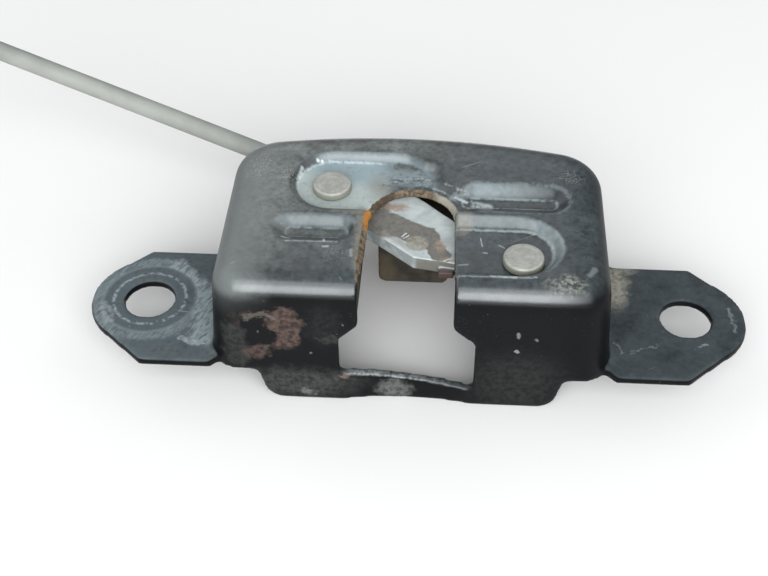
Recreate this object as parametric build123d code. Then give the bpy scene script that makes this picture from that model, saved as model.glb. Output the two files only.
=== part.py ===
from build123d import *
import os
from math import cos, radians, sin, sqrt, tan

# Boot lid latch with a drawn steel housing, a turning claw, a pawl and a release rod.
# Millimetres. The origin is midway between the two fixing holes, on the ears' mounting face.
# X runs along the line of the holes, +Y goes in with the striker, +Z points out of the top face.

# Drawn housing
SHEET = 1.6
BODY_HEIGHT = 19.6
BODY_CENTRE_X = -0.5
BODY_HALF_WIDTH = 32.8
DRAFT_ANGLE = 4.5
FRONT_Y = -14.3
REAR_Y = 27.8
REAR_APEX_X = -3.0
REAR_BOW_RADIUS = 124.0
FRONT_CORNER_RADIUS = 5.0
REAR_CORNER_RADIUS = 8.5
TOP_EDGE_RADIUS = 4.2

# Mounting ears
HOLE_SPACING = 91.6
HOLE_RADIUS = 4.25
EAR_NOSE_RADIUS = 10.1
EAR_REAR_Y = 12.3
EAR_REAR_CORNER_X = 47.5
EAR_FRONT_CORNER_X = 44.9
EAR_NOTCH = 2.3
EAR_CORNER_RADIUS = 1.2
EAR_GUSSET_RADIUS = 2.6
EAR_ROOT_LAP = 0.1

# Striker opening: slot in the top face, T-shaped window in the front wall, tongue under it
SLOT_X = -0.75
SLOT_WIDTH = 13.7
SLOT_END_Y = 4.8
SLOT_FOOT_Z = 10.9
SLOT_TAPER_LEFT = 0.5
SLOT_TAPER_Y = -9.0
SLOT_FLARE_LEFT = 1.0
SLOT_FLARE_RIGHT = 0.35
SLOT_RIM_BACK = 1.3
SLOT_RIM_FRONT = 0.9
ARC_RIM = 0.8
ARC_RIM_LEAN = 0.3
WINDOW_X = -0.85
WINDOW_WIDTH = 21.9
WINDOW_TOP_Z = 7.6
WINDOW_LEFT_Z = 0.0
WINDOW_RIGHT_Z = -3.0
WINDOW_CORNER_RADIUS = 1.1
TONGUE_DEPTH = 6.6
TONGUE_LEFT_INSET = 7.9
TONGUE_RIGHT_INSET = 7.4
TONGUE_TAPER = 1.6
TONGUE_CORNER_RADIUS = 3.4
TONGUE_ROOT_RADIUS = 1.4
TONGUE_SHOULDER = 1.2
STRIP_DENT = 1.1
STRIP_LAP = 2.0
WALL_NOTCH_MARGIN = 4.0
WALL_NOTCH_HEADROOM = 2.0
WALL_NOTCH_SHARE = 0.6
CUT_MARGIN = 1.0

# Pressed recesses in the top face
PAD_DEPTH = 1.9
BEAD_DEPTH = 1.8
FLOOR_GROWTH = 0.6
RING_CENTRE = (-2.2, 5.6)
RING_RADIUS = 13.1
RING_FLOOR_RADIUS = 11.2
RING_FRONT_Y = 4.9
RING_FLOOR_SETBACK = 1.0
CLAW_PAD = (-14.1, -4.5, 12.3, 7.9)
CLAW_PAD_FLOOR = (-14.4, -4.2, 12.4, 6.2)
PAWL_PAD = (6.0, 16.1, -2.9, 7.3)
PAWL_PAD_FLOOR = (6.0, 16.8, -3.2, 5.35)
REAR_BEAD = (8.5, 21.4, 8.7, 3.7)
REAR_BEAD_FLOOR = (8.5, 21.9, 8.9, 1.2)
FRONT_BEAD = (-20.0, -13.4, -0.1, 3.4)
FRONT_BEAD_FLOOR = (-20.3, -12.2, 0.1, 1.1)

# Pivots
CLAW_PIVOT = (-14.7, 11.7)
PAWL_PIVOT = (17.2, -5.1)
HEAD_RADIUS = 3.3
HEAD_HEIGHT = 1.4
FOOT_HEIGHT = 0.9
HEAD_EDGE = 0.5
NECK_RADIUS = 2.6
SHOULDER_RADIUS = 4.0
SHANK_RADIUS = 3.2
RUNNING_CLEARANCE = 0.05
AXIAL_PLAY = 0.25

# Base plate with its bent-down stop tab
BASE_THICKNESS = 2.0
BASE_SIDE_GAP = 4.2
BASE_FRONT_Y = -11.2
BASE_REAR_Y = 21.4
BASE_CORNER_RADIUS = 6.0
BASE_SLOT_MARGIN = 1.2
STOP_Y = 7.8
STOP_CENTRE_X = -0.7
STOP_WIDTH = 12.2
STOP_BOTTOM_Z = 0.2
STOP_CORNER_RADIUS = 1.3
STOP_BEND_RADIUS = 1.0
STOP_RELIEF = 1.2

# Claw, drawn open as it waits for the striker
CLAW_THICKNESS = 2.6
CLAW_HUB_RADIUS = 10.6
CLAW_TURN = 40.0
MOUTH_WIDTH = 9.0
MOUTH_ROOT = (-10.1, -0.3)
MOUTH_ANGLE = -40.0
KICK_CORNER = (-0.3, -2.7)
CLAW_END = (6.6, -3.6)
CLAW_FLANK_RADIUS = 26.8
CLAW_BACK_ANGLE = 136.5
FINGER_RADIUS = 23.4
FINGER_TIP_X = -9.1
FINGER_HEEL_ANGLE = 258.0
CLAW_LUG = (3.8, 6.3, 1.2)
CLAW_STUD_ANGLE = 205.0
CLAW_STUD_DISTANCE = 8.0
CLAW_STUD_REACH = 1.2
STUD_RADIUS = 1.3
STUD_WINDOW_CLEARANCE = 0.5
CLAW_HEEL_ROUND = 2.0
CLAW_TIP_ROUND = 0.5
HUB_ARC_START = 118.0
HUB_ARC_END = 190.0
FINGER_END_ANGLE = 284.0

# Pawl, drawn clear of the claw's flank
PAWL_THICKNESS = CLAW_THICKNESS
PAWL_HUB_RADIUS = 6.6
PAWL_ENGAGE_TURN = 11.5
PAWL_RELEASE_TURN = 3.0
LOCK_CLEARANCE = 0.7
LOCK_START = 4.0
LOCK_LENGTH = 3.6
NOSE_NECK = (2.0, -5.6)
NOSE_CREST = (2.6, 0.2)
PAWL_CREST_ROUND = 1.5
PAWL_NECK_ROUND = 2.0
PAWL_HUB_LEFT = 172.0
PAWL_HUB_RIGHT = 15.0
PAWL_HUB_FOOT = 272.0
PAWL_STUD = (16.3, 8.0)
PAWL_STUD_RADIUS = 1.6
PAWL_STUD_REACH = 0.8

# Release lever under the base plate
SPACER_LENGTH = 3.5
WASHER_DROP = 0.7
SPACER_WALL = 1.1
LEVER_THICKNESS = 2.0
LEVER_HUB_RADIUS = 5.2
LEVER_ARM_WIDTH = 6.5
LEVER_PLAY = 0.1
LEVER_EYE_WALL = 2.6
TAB_CLEARANCE = 3.0
SLOT_CLEARANCE = 2.5
CAM_GAP = 0.5
CAM_NORMAL = (0.78, 0.62)
CAM_BELOW = 2.6
CAM_ABOVE = 5.4
CAM_HEEL = 1.5
CROSS_ARM_TAPER = 1.0
ROD_EYE = (-14.5, 33.5)
EYE_RADIUS = 3.1
CLIP_THICKNESS = 0.8
CLIP_RADIUS = 4.9
CLIP_LOBE_RADIUS = 1.3
GROOVE_DEPTH = 0.8
PIN_TAIL = 0.9
PIN_CHAMFER = 0.4

# Springs
WIRE_RADIUS = 0.5
COIL_RADIUS = 4.9
COIL_TURNS = 2.1
COIL_PITCH = 1.02
COIL_TOP_GAP = 0.15
SPRING_LEG = 4.4
CLAW_SPRING_START = 60.0
PAWL_SPRING_START = 200.0

# Release rod
ROD_RADIUS = 1.75
ROD_HEADING = 168.4
ROD_RISE = 15.5
ROD_LENGTH = 88.0
ROD_BEND_RADIUS = 2.7
ROD_DROP = 4.7
ROD_STANDOUT = 0.6
BUSH_FLANGE_RADIUS = 4.6
BUSH_FLANGE = 0.9
BUSH_SNAP = 0.7

# Levels, top face downwards, and other sizes worked out from the ones above
PAD_TOP = BODY_HEIGHT - PAD_DEPTH
PAD_UNDER = PAD_TOP - SHEET
CLAW_TOP = PAD_UNDER - AXIAL_PLAY
CLAW_BOTTOM = CLAW_TOP - CLAW_THICKNESS
BASE_TOP = CLAW_BOTTOM - AXIAL_PLAY
BASE_BOTTOM = BASE_TOP - BASE_THICKNESS
LEVER_TOP = BASE_BOTTOM - SPACER_LENGTH - LEVER_PLAY
LEVER_BOTTOM = LEVER_TOP - LEVER_THICKNESS
CLIP_TOP = LEVER_BOTTOM - LEVER_PLAY
PAWL_FOOT = LEVER_TOP - WASHER_DROP
BASE_HALF_WIDTH = BODY_HALF_WIDTH - BASE_SIDE_GAP
DRAFT = tan(radians(DRAFT_ANGLE))
LOCK_GAP = CLAW_LUG[2] + LOCK_CLEARANCE
SLOT_LEFT = SLOT_X - SLOT_WIDTH / 2
SLOT_RIGHT = SLOT_X + SLOT_WIDTH / 2
NECK_LEFT = SLOT_LEFT - SLOT_FLARE_LEFT
NECK_RIGHT = SLOT_RIGHT + SLOT_FLARE_RIGHT
NECK_Y = FRONT_Y + SHEET + STRIP_DENT + CUT_MARGIN


def polar(centre, radius, angle):
    """Point at a distance and an angle in degrees from a centre."""
    return (centre[0] + radius * cos(radians(angle)), centre[1] + radius * sin(radians(angle)))


def turned(point, centre, angle):
    """Point turned about a centre by an angle in degrees."""
    dx, dy = point[0] - centre[0], point[1] - centre[1]
    c, s = cos(radians(angle)), sin(radians(angle))
    return (centre[0] + dx * c - dy * s, centre[1] + dx * s + dy * c)


def upright(radius, bottom, top, centre=(0.0, 0.0)):
    """Round bar standing along Z."""
    return Pos(centre[0], centre[1], (bottom + top) / 2) * Cylinder(radius, top - bottom)


def slab(face, bottom, top):
    """Flat face in the XY plane, raised between two levels."""
    return Pos(0, 0, bottom) * extrude(face, top - bottom, dir=(0, 0, 1))


def box(x0, x1, y0, y1, z0, z1):
    """Block between two corners."""
    return Pos((x0 + x1) / 2, (y0 + y1) / 2, (z0 + z1) / 2) * Box(x1 - x0, y1 - y0, z1 - z0)


def stadium(x0, x1, y, radius):
    """Long hole outline between two end centres."""
    return Pos((x0 + x1) / 2, y) * SlotCenterToCenter(x1 - x0, 2 * radius)


# Housing
def body_plan(z, inset):
    """Outline of the drawn body at a height, moved in by an inset."""
    shrink = inset + z * DRAFT
    half = BODY_HALF_WIDTH - shrink
    left, right = BODY_CENTRE_X - half, BODY_CENTRE_X + half
    front = FRONT_Y + inset
    bow = REAR_BOW_RADIUS - shrink
    bow_y = REAR_Y - REAR_BOW_RADIUS
    left_y = bow_y + sqrt(bow ** 2 - (left - REAR_APEX_X) ** 2)
    right_y = bow_y + sqrt(bow ** 2 - (right - REAR_APEX_X) ** 2)
    sides = Polyline((left, left_y), (left, front), (right, front), (right, right_y))
    rear = ThreePointArc((right, right_y), (REAR_APEX_X, bow_y + bow), (left, left_y))
    face = make_face(sides.edges() + rear.edges())
    corners = face.vertices().sort_by(Axis.Y)
    face = fillet(corners[:2], FRONT_CORNER_RADIUS - inset)
    corners = face.vertices().sort_by(Axis.Y)
    return Pos(0, 0, z) * fillet(corners[-2:], REAR_CORNER_RADIUS - inset)


def body_volume(bottom, top, inset, edge_radius):
    """Drawn body's volume, with its top edge rounded."""
    solid = loft([body_plan(bottom, inset), body_plan(top, inset)], ruled=True)
    rim = solid.faces().sort_by(Axis.Z)[-1].edges()
    return fillet(rim, edge_radius)


def ear_outline(side):
    """Plan of one ear, from inside the side wall out to its rounded nose."""
    wall_x = BODY_HALF_WIDTH - 2 * SHEET
    notch_x = BODY_HALF_WIDTH + EAR_NOTCH - SHEET
    nose = Pos(HOLE_SPACING / 2, 0) * Circle(EAR_NOSE_RADIUS)
    plate = make_hull(nose.edges() + Polyline(
        (notch_x, FRONT_Y), (EAR_FRONT_CORNER_X, FRONT_Y), (EAR_REAR_CORNER_X, EAR_REAR_Y),
        (notch_x, EAR_REAR_Y), close=True).edges())
    corners = plate.vertices().filter_by_position(
        Axis.X, EAR_FRONT_CORNER_X - 1, EAR_REAR_CORNER_X + 0.01)
    corners = [v for v in corners if abs(v.Y - FRONT_Y) < 0.01 or abs(v.Y - EAR_REAR_Y) < 0.01]
    plate = fillet(corners, EAR_CORNER_RADIUS)
    root = make_face(Polyline(
        (wall_x, EAR_REAR_Y), (notch_x + EAR_ROOT_LAP, EAR_REAR_Y),
        (notch_x + EAR_ROOT_LAP, FRONT_Y),
        (notch_x, FRONT_Y), (notch_x - EAR_NOTCH, FRONT_Y + EAR_NOTCH),
        (wall_x, FRONT_Y + EAR_NOTCH), close=True))
    plate = plate + root
    if side < 0:
        plate = mirror(plate, Plane.YZ)
    return plate


def gusset(side):
    """Rounded web where an ear's rear edge meets the side wall."""
    wall_x = BODY_HALF_WIDTH + side * BODY_CENTRE_X - SHEET
    corner_x = BODY_HALF_WIDTH + side * BODY_CENTRE_X
    reach = EAR_GUSSET_RADIUS
    web = make_face(Polyline((wall_x, EAR_REAR_Y - 1), (corner_x + reach, EAR_REAR_Y - 1),
                             (corner_x + reach, EAR_REAR_Y + reach), (wall_x, EAR_REAR_Y + reach),
                             close=True))
    web = web - Pos(corner_x + reach, EAR_REAR_Y + reach) * Circle(reach)
    return web if side > 0 else mirror(web, Plane.YZ)


def tongue():
    """Lower part of the front wall, under the mounting face."""
    left = BODY_CENTRE_X - BODY_HALF_WIDTH + TONGUE_LEFT_INSET
    right = BODY_CENTRE_X + BODY_HALF_WIDTH - TONGUE_RIGHT_INSET
    low = -TONGUE_DEPTH
    flank = FRONT_CORNER_RADIUS + TONGUE_SHOULDER
    body_left = BODY_CENTRE_X - BODY_HALF_WIDTH + flank
    body_right = BODY_CENTRE_X + BODY_HALF_WIDTH - flank
    face = make_face(Polyline(
        (body_left, SHEET), (body_left, 0), (left, 0), (left + TONGUE_TAPER, low),
        (right - TONGUE_TAPER, low), (right, 0), (body_right, 0), (body_right, SHEET),
        close=True))
    bottom = [v for v in face.vertices() if abs(v.Y - low) < 0.01]
    face = fillet(bottom, TONGUE_CORNER_RADIUS)
    roots = [v for v in face.vertices()
             if abs(v.Y) < 0.01 and min(abs(v.X - left), abs(v.X - right)) < 0.01]
    face = fillet(roots, TONGUE_ROOT_RADIUS)
    return extrude(Plane.XZ.offset(-FRONT_Y) * face, -SHEET)


def window():
    """Striker opening through the front wall: narrow neck above, wide window below."""
    wide_left, wide_right = WINDOW_X - WINDOW_WIDTH / 2, WINDOW_X + WINDOW_WIDTH / 2
    top = BODY_HEIGHT + CUT_MARGIN
    face = make_face(Polyline(
        (NECK_LEFT, top), (NECK_LEFT, SLOT_FOOT_Z), (wide_left, WINDOW_TOP_Z),
        (wide_left, WINDOW_LEFT_Z), (wide_right, WINDOW_RIGHT_Z), (wide_right, WINDOW_TOP_Z),
        (NECK_RIGHT, SLOT_FOOT_Z), (NECK_RIGHT, top), close=True))
    corners = [v for v in face.vertices() if v.Y < BODY_HEIGHT]
    face = fillet(corners, WINDOW_CORNER_RADIUS)
    front = FRONT_Y - CUT_MARGIN
    return extrude(Plane.XZ.offset(-front) * face, front - NECK_Y)


def slot_outline():
    """Slot in the top face, flaring towards the front wall."""
    front = FRONT_Y - CUT_MARGIN
    straight = make_face(Polyline(
        (SLOT_LEFT, SLOT_END_Y), (SLOT_LEFT - SLOT_TAPER_LEFT, SLOT_TAPER_Y),
        (NECK_LEFT, NECK_Y), (NECK_LEFT, front), (NECK_RIGHT, front), (NECK_RIGHT, NECK_Y),
        (SLOT_RIGHT, SLOT_END_Y), close=True))
    return straight + Pos(SLOT_X, SLOT_END_Y) * Circle(SLOT_WIDTH / 2)


def slot_rim():
    """Slanted rim along the slot's left side, fading out towards the front."""
    taper_left = SLOT_LEFT - SLOT_TAPER_LEFT
    top = make_face(Polyline(
        (SLOT_LEFT - SLOT_RIM_BACK, SLOT_END_Y), (taper_left - SLOT_RIM_FRONT, SLOT_TAPER_Y),
        (NECK_LEFT - SLOT_RIM_FRONT, FRONT_Y), (SLOT_X, FRONT_Y), (SLOT_X, SLOT_END_Y),
        close=True))
    foot = make_face(Polyline(
        (SLOT_LEFT, SLOT_END_Y), (taper_left, SLOT_TAPER_Y), (NECK_LEFT, FRONT_Y),
        (SLOT_X, FRONT_Y), (SLOT_X, SLOT_END_Y), close=True))
    return pressing(top, foot, SLOT_RIM_BACK, BODY_HEIGHT)


def arc_rim():
    """Slanted rim round the slot's closed end, wider at the back left."""
    radius = SLOT_WIDTH / 2
    top = Pos(SLOT_X - ARC_RIM_LEAN, SLOT_END_Y + ARC_RIM_LEAN) * Circle(radius + ARC_RIM)
    return pressing(top, Pos(SLOT_X, SLOT_END_Y) * Circle(radius), ARC_RIM, PAD_TOP)


def dented_strip():
    """Strip under the window, pushed in by the striker: what goes and what takes its place."""
    left, right = WINDOW_X - WINDOW_WIDTH / 2, WINDOW_X + WINDOW_WIDTH / 2
    top = max(WINDOW_LEFT_Z, WINDOW_RIGHT_Z) + STRIP_LAP
    gone = box(left, right, FRONT_Y - CUT_MARGIN, FRONT_Y + SHEET + CUT_MARGIN,
               -TONGUE_DEPTH - CUT_MARGIN, top)
    outer = ThreePointArc((left, FRONT_Y), (WINDOW_X, FRONT_Y + STRIP_DENT), (right, FRONT_Y))
    inner = Pos(0, SHEET) * outer
    band = make_face(outer.edges() + inner.edges() + Line(outer @ 0, inner @ 0).edges()
                     + Line(outer @ 1, inner @ 1).edges())
    return gone, slab(band, -TONGUE_DEPTH, top)


def pressing(outer, floor, depth, level=BODY_HEIGHT):
    """Soft-walled pressing between its outline on the face and its floor."""
    return loft([Pos(0, 0, level) * outer, Pos(0, 0, level - depth) * floor], ruled=True)


def segment(radius, front_y):
    """Disc round the slot's end, cut off along a line across it."""
    disc = Pos(*RING_CENTRE) * Circle(radius)
    cut = Pos(RING_CENTRE[0], front_y - radius) * Rectangle(4 * radius, 2 * radius)
    return disc - cut


def stadium_pressing(outer, floor, depth, grow, level):
    """Long pressing given by its outline and its floor, both grown alike."""
    return pressing(stadium(*outer[:3], outer[3] + grow), stadium(*floor[:3], floor[3] + grow),
                    depth, level)


def pressings(grow, level):
    """The five pressings of the top face, grown and moved down for the sheet's underside."""
    ring = pressing(segment(RING_RADIUS + grow, RING_FRONT_Y - grow),
                    segment(RING_FLOOR_RADIUS + grow, RING_FRONT_Y + RING_FLOOR_SETBACK - grow),
                    PAD_DEPTH, level)
    pads = [(CLAW_PAD, CLAW_PAD_FLOOR), (PAWL_PAD, PAWL_PAD_FLOOR)]
    beads = [(REAR_BEAD, REAR_BEAD_FLOOR), (FRONT_BEAD, FRONT_BEAD_FLOOR)]
    tools = [stadium_pressing(*pad, PAD_DEPTH, grow, level) for pad in pads]
    tools += [stadium_pressing(*bead, BEAD_DEPTH, grow, level) for bead in beads]
    return tools + [ring]


def housing():
    """Drawn and pressed sheet-steel housing with its two ears."""
    body = body_volume(0, BODY_HEIGHT, 0, TOP_EDGE_RADIUS)
    for side in (-1, 1):
        body += slab(ear_outline(side), 0, SHEET)
        body += slab(gusset(side), 0, SHEET)
    hollow = body_volume(-CUT_MARGIN, BODY_HEIGHT - SHEET, SHEET, TOP_EDGE_RADIUS - SHEET)
    body -= hollow
    body += tongue()
    under = BODY_HEIGHT - SHEET
    for tool in pressings(FLOOR_GROWTH, under):
        body += tool & hollow
    for tool in pressings(0, BODY_HEIGHT):
        body -= tool
    gone, band = dented_strip()
    body = body - gone + band
    above = BODY_HEIGHT + CUT_MARGIN
    body -= slab(slot_outline(), SLOT_FOOT_Z + CUT_MARGIN, above)
    body -= slot_rim()
    body -= arc_rim()
    body -= window()
    for pivot in (CLAW_PIVOT, PAWL_PIVOT):
        body -= upright(NECK_RADIUS, PAD_UNDER - CUT_MARGIN, above, pivot)
    for side in (-1, 1):
        hole = (side * HOLE_SPACING / 2, 0)
        body -= upright(HOLE_RADIUS, -CUT_MARGIN, SHEET + CUT_MARGIN, hole)
    lever_x = CLAW_PIVOT[0] + (ROD_EYE[0] - CLAW_PIVOT[0]) * WALL_NOTCH_SHARE
    notch = LEVER_ARM_WIDTH / 2 + WALL_NOTCH_MARGIN
    body -= box(lever_x - notch, lever_x + notch, REAR_Y / 2, REAR_Y + CUT_MARGIN,
                -CUT_MARGIN, LEVER_TOP + WALL_NOTCH_HEADROOM)
    return body


# Base plate and pins
def arc_window(centre, distance, start, end, half_width):
    """Curved slot about a pivot."""
    middle = (start + end) / 2
    outer = distance + half_width
    inner = distance - half_width
    ring = Pos(*centre) * (Circle(outer) - Circle(inner))
    reach = 3 * outer
    wedge = make_face(Polyline(
        centre, polar(centre, reach, start), polar(centre, reach, middle),
        polar(centre, reach, end), close=True))
    ends = [Pos(*polar(centre, distance, a)) * Circle(half_width) for a in (start, end)]
    return (ring & wedge) + ends[0] + ends[1]


def pawl_stud_angles():
    """Stud's angle about the pawl's pivot at rest, and its distance."""
    dx, dy = PAWL_STUD[0] - PAWL_PIVOT[0], PAWL_STUD[1] - PAWL_PIVOT[1]
    angle = Vector(1, 0).get_angle(Vector(dx, dy))
    return angle, sqrt(dx * dx + dy * dy)


def base_plate():
    """Plate behind the claw, with the striker slot and the stop tab bent out of it."""
    plate = Pos(BODY_CENTRE_X, (BASE_FRONT_Y + BASE_REAR_Y) / 2) * RectangleRounded(
        2 * BASE_HALF_WIDTH, BASE_REAR_Y - BASE_FRONT_Y, BASE_CORNER_RADIUS)
    half = SLOT_WIDTH / 2 + BASE_SLOT_MARGIN
    slot_end = STOP_Y + BASE_THICKNESS + STOP_BEND_RADIUS
    plate -= Pos(SLOT_X, (slot_end + BASE_FRONT_Y) / 2 - CUT_MARGIN) * Rectangle(
        2 * half, slot_end - BASE_FRONT_Y + 2 * CUT_MARGIN)
    plate -= arc_window(CLAW_PIVOT, CLAW_STUD_DISTANCE, CLAW_STUD_ANGLE,
                        CLAW_STUD_ANGLE + CLAW_TURN, STUD_RADIUS + STUD_WINDOW_CLEARANCE)
    angle, distance = pawl_stud_angles()
    plate -= arc_window(PAWL_PIVOT, distance, angle - PAWL_RELEASE_TURN - 1,
                        angle + PAWL_ENGAGE_TURN + 1, PAWL_STUD_RADIUS + STUD_WINDOW_CLEARANCE)
    for pivot in (CLAW_PIVOT, PAWL_PIVOT):
        plate -= Pos(*pivot) * Circle(SHANK_RADIUS)
    solid = slab(plate, BASE_BOTTOM, BASE_TOP)
    return solid + stop_tab(slot_end)


def stop_tab(slot_end):
    """Tab bent down at the closed end of the base plate's slot."""
    reach = STOP_RELIEF
    left, right = STOP_CENTRE_X - STOP_WIDTH / 2, STOP_CENTRE_X + STOP_WIDTH / 2
    bend = STOP_BEND_RADIUS
    outer = bend + BASE_THICKNESS
    profile = make_face(Polyline(
        (slot_end + reach, BASE_TOP), (STOP_Y, BASE_TOP), (STOP_Y, STOP_BOTTOM_Z),
        (STOP_Y + BASE_THICKNESS, STOP_BOTTOM_Z), (STOP_Y + BASE_THICKNESS, BASE_BOTTOM),
        (slot_end + reach, BASE_BOTTOM), close=True))
    outside = [v for v in profile.vertices() if v.X < STOP_Y + 0.1 and v.Y > BASE_TOP - 0.1]
    profile = fillet(outside, outer)
    inside = [v for v in profile.vertices()
              if abs(v.X - STOP_Y - BASE_THICKNESS) < 0.1 and abs(v.Y - BASE_BOTTOM) < 0.1]
    profile = fillet(inside, bend)
    tab = Pos(left, 0, 0) * extrude(Plane.YZ * profile, right - left)
    corners = tab.edges().filter_by(Axis.Y).group_by(Axis.Z)[0]
    return fillet(corners, STOP_CORNER_RADIUS)


def pin(pivot, tail_bottom):
    """Stepped pivot pin, its head formed over the top face."""
    head = upright(HEAD_RADIUS, PAD_TOP, PAD_TOP + HEAD_HEIGHT, pivot)
    head = fillet(head.edges().group_by(Axis.Z)[-1], HEAD_EDGE)
    neck = upright(NECK_RADIUS, PAD_UNDER, PAD_TOP, pivot)
    shoulder = upright(SHOULDER_RADIUS, BASE_TOP, PAD_UNDER, pivot)
    shank = upright(SHANK_RADIUS, tail_bottom, BASE_TOP, pivot)
    return head + neck + shoulder + shank


def claw_pin():
    """Pin of the claw, carrying the release lever on its lower end."""
    tail = CLIP_TOP - CLIP_THICKNESS - PIN_TAIL
    body = pin(CLAW_PIVOT, tail)
    ring = upright(SHANK_RADIUS + 1, CLIP_TOP - CLIP_THICKNESS, CLIP_TOP, CLAW_PIVOT)
    ring -= upright(SHANK_RADIUS - GROOVE_DEPTH, tail, BASE_TOP, CLAW_PIVOT)
    body -= ring
    return chamfer(body.edges().group_by(Axis.Z)[0], PIN_CHAMFER)


def pawl_pin():
    """Pin of the pawl, its lower end formed over a washer."""
    body = pin(PAWL_PIVOT, PAWL_FOOT)
    foot = upright(SHOULDER_RADIUS, PAWL_FOOT - FOOT_HEIGHT, PAWL_FOOT, PAWL_PIVOT)
    return body + fillet(foot.edges().group_by(Axis.Z)[0], HEAD_EDGE)


def pawl_washer():
    """Washer that holds the pawl's spring on its pin."""
    ring = Circle(COIL_RADIUS + WIRE_RADIUS) - Circle(SHANK_RADIUS)
    return slab(Pos(*PAWL_PIVOT) * ring, PAWL_FOOT, PAWL_FOOT + CLIP_THICKNESS)


def spacer(pivot, bottom):
    """Sleeve between the base plate and what the pin carries under it."""
    ring = Circle(SHANK_RADIUS + SPACER_WALL) - Circle(SHANK_RADIUS)
    return slab(Pos(*pivot) * ring, bottom, BASE_BOTTOM)


def retaining_clip():
    """Open spring-steel clip in the claw pin's groove."""
    ring = Circle(CLIP_RADIUS) - Circle(SHANK_RADIUS - GROOVE_DEPTH)
    mouth = Pos(0, -CLIP_RADIUS) * Rectangle(2 * (SHANK_RADIUS - GROOVE_DEPTH), 2 * CLIP_RADIUS)
    lobes = Pos(0, CLIP_RADIUS) * Circle(CLIP_LOBE_RADIUS)
    shape = ring - mouth - lobes
    return slab(Pos(*CLAW_PIVOT) * shape, CLIP_TOP - CLIP_THICKNESS, CLIP_TOP)


# Claw
def claw_outline():
    """Claw with its mouth: finger in front, kick arm behind."""
    hub = CLAW_PIVOT
    along = (cos(radians(MOUTH_ANGLE)), sin(radians(MOUTH_ANGLE)))
    across = (-along[1], along[0])
    half = MOUTH_WIDTH / 2
    root = MOUTH_ROOT
    kick_root = (root[0] + half * across[0], root[1] + half * across[1])
    finger_root = (root[0] - half * across[0], root[1] - half * across[1])
    reach = (FINGER_TIP_X - finger_root[0]) / along[0]
    tip_inner = (FINGER_TIP_X, finger_root[1] + reach * along[1])
    dx = FINGER_TIP_X - hub[0]
    tip_outer = (FINGER_TIP_X, hub[1] - sqrt(FINGER_RADIUS ** 2 - dx ** 2))
    heel = polar(hub, FINGER_RADIUS, FINGER_HEEL_ANGLE)
    tip_angle = (FINGER_HEEL_ANGLE + FINGER_END_ANGLE) / 2
    finger_mid = polar(hub, FINGER_RADIUS, tip_angle)
    end_dx, end_dy = CLAW_END[0] - hub[0], CLAW_END[1] - hub[1]
    start_angle = -Vector(1, 0).get_angle(Vector(end_dx, end_dy))
    flank_start = polar(hub, CLAW_FLANK_RADIUS, start_angle)
    back_normal = CLAW_BACK_ANGLE - 90
    back_foot = polar(hub, CLAW_HUB_RADIUS, back_normal)
    run = sqrt(CLAW_FLANK_RADIUS ** 2 - CLAW_HUB_RADIUS ** 2)
    back_top = (back_foot[0] - run * cos(radians(CLAW_BACK_ANGLE)),
                back_foot[1] - run * sin(radians(CLAW_BACK_ANGLE)))
    flank_end = start_angle + Vector(flank_start[0] - hub[0], flank_start[1] - hub[1]).get_angle(
        Vector(back_top[0] - hub[0], back_top[1] - hub[1]))
    flank_mid = polar(hub, CLAW_FLANK_RADIUS, (start_angle + flank_end) / 2)
    edges = [
        Line(tip_outer, tip_inner),
        Line(tip_inner, finger_root),
        ThreePointArc(finger_root, (root[0] - half * along[0], root[1] - half * along[1]), kick_root),
        Line(kick_root, KICK_CORNER),
        Line(KICK_CORNER, flank_start),
        ThreePointArc(flank_start, flank_mid, back_top),
        Line(back_top, back_foot),
        ThreePointArc(back_foot, polar(hub, CLAW_HUB_RADIUS, HUB_ARC_START),
                      polar(hub, CLAW_HUB_RADIUS, HUB_ARC_END)),
        Line(polar(hub, CLAW_HUB_RADIUS, HUB_ARC_END), heel),
        ThreePointArc(heel, finger_mid, tip_outer),
    ]
    return make_face(edges), back_top, heel


def claw():
    """Stamped claw plate, with the small lug bent from its end edge."""
    face, back_top, heel = claw_outline()
    rounded = [v for v in face.vertices()
               if min(abs(v.X - back_top[0]) + abs(v.Y - back_top[1]),
                      abs(v.X - heel[0]) + abs(v.Y - heel[1])) < 0.05]
    face = fillet(rounded, CLAW_HEEL_ROUND)
    tips = [v for v in face.vertices() if abs(v.X - FINGER_TIP_X) < 0.01]
    face = fillet(tips, CLAW_TIP_ROUND)
    bore = SHOULDER_RADIUS + RUNNING_CLEARANCE
    face -= Pos(*CLAW_PIVOT) * Circle(bore)
    solid = slab(face, CLAW_BOTTOM, CLAW_TOP)
    left, right, stand = CLAW_LUG
    lug = box(left, right, CLAW_END[1] - stand, CLAW_END[1] + stand,
              CLAW_BOTTOM, CLAW_TOP - CLAW_THICKNESS / 2)
    return solid + lug


def claw_stud():
    """Stud under the claw that the return spring drives."""
    centre = polar(CLAW_PIVOT, CLAW_STUD_DISTANCE, CLAW_STUD_ANGLE)
    return upright(STUD_RADIUS, BASE_BOTTOM - CLAW_STUD_REACH, CLAW_BOTTOM, centre)


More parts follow.
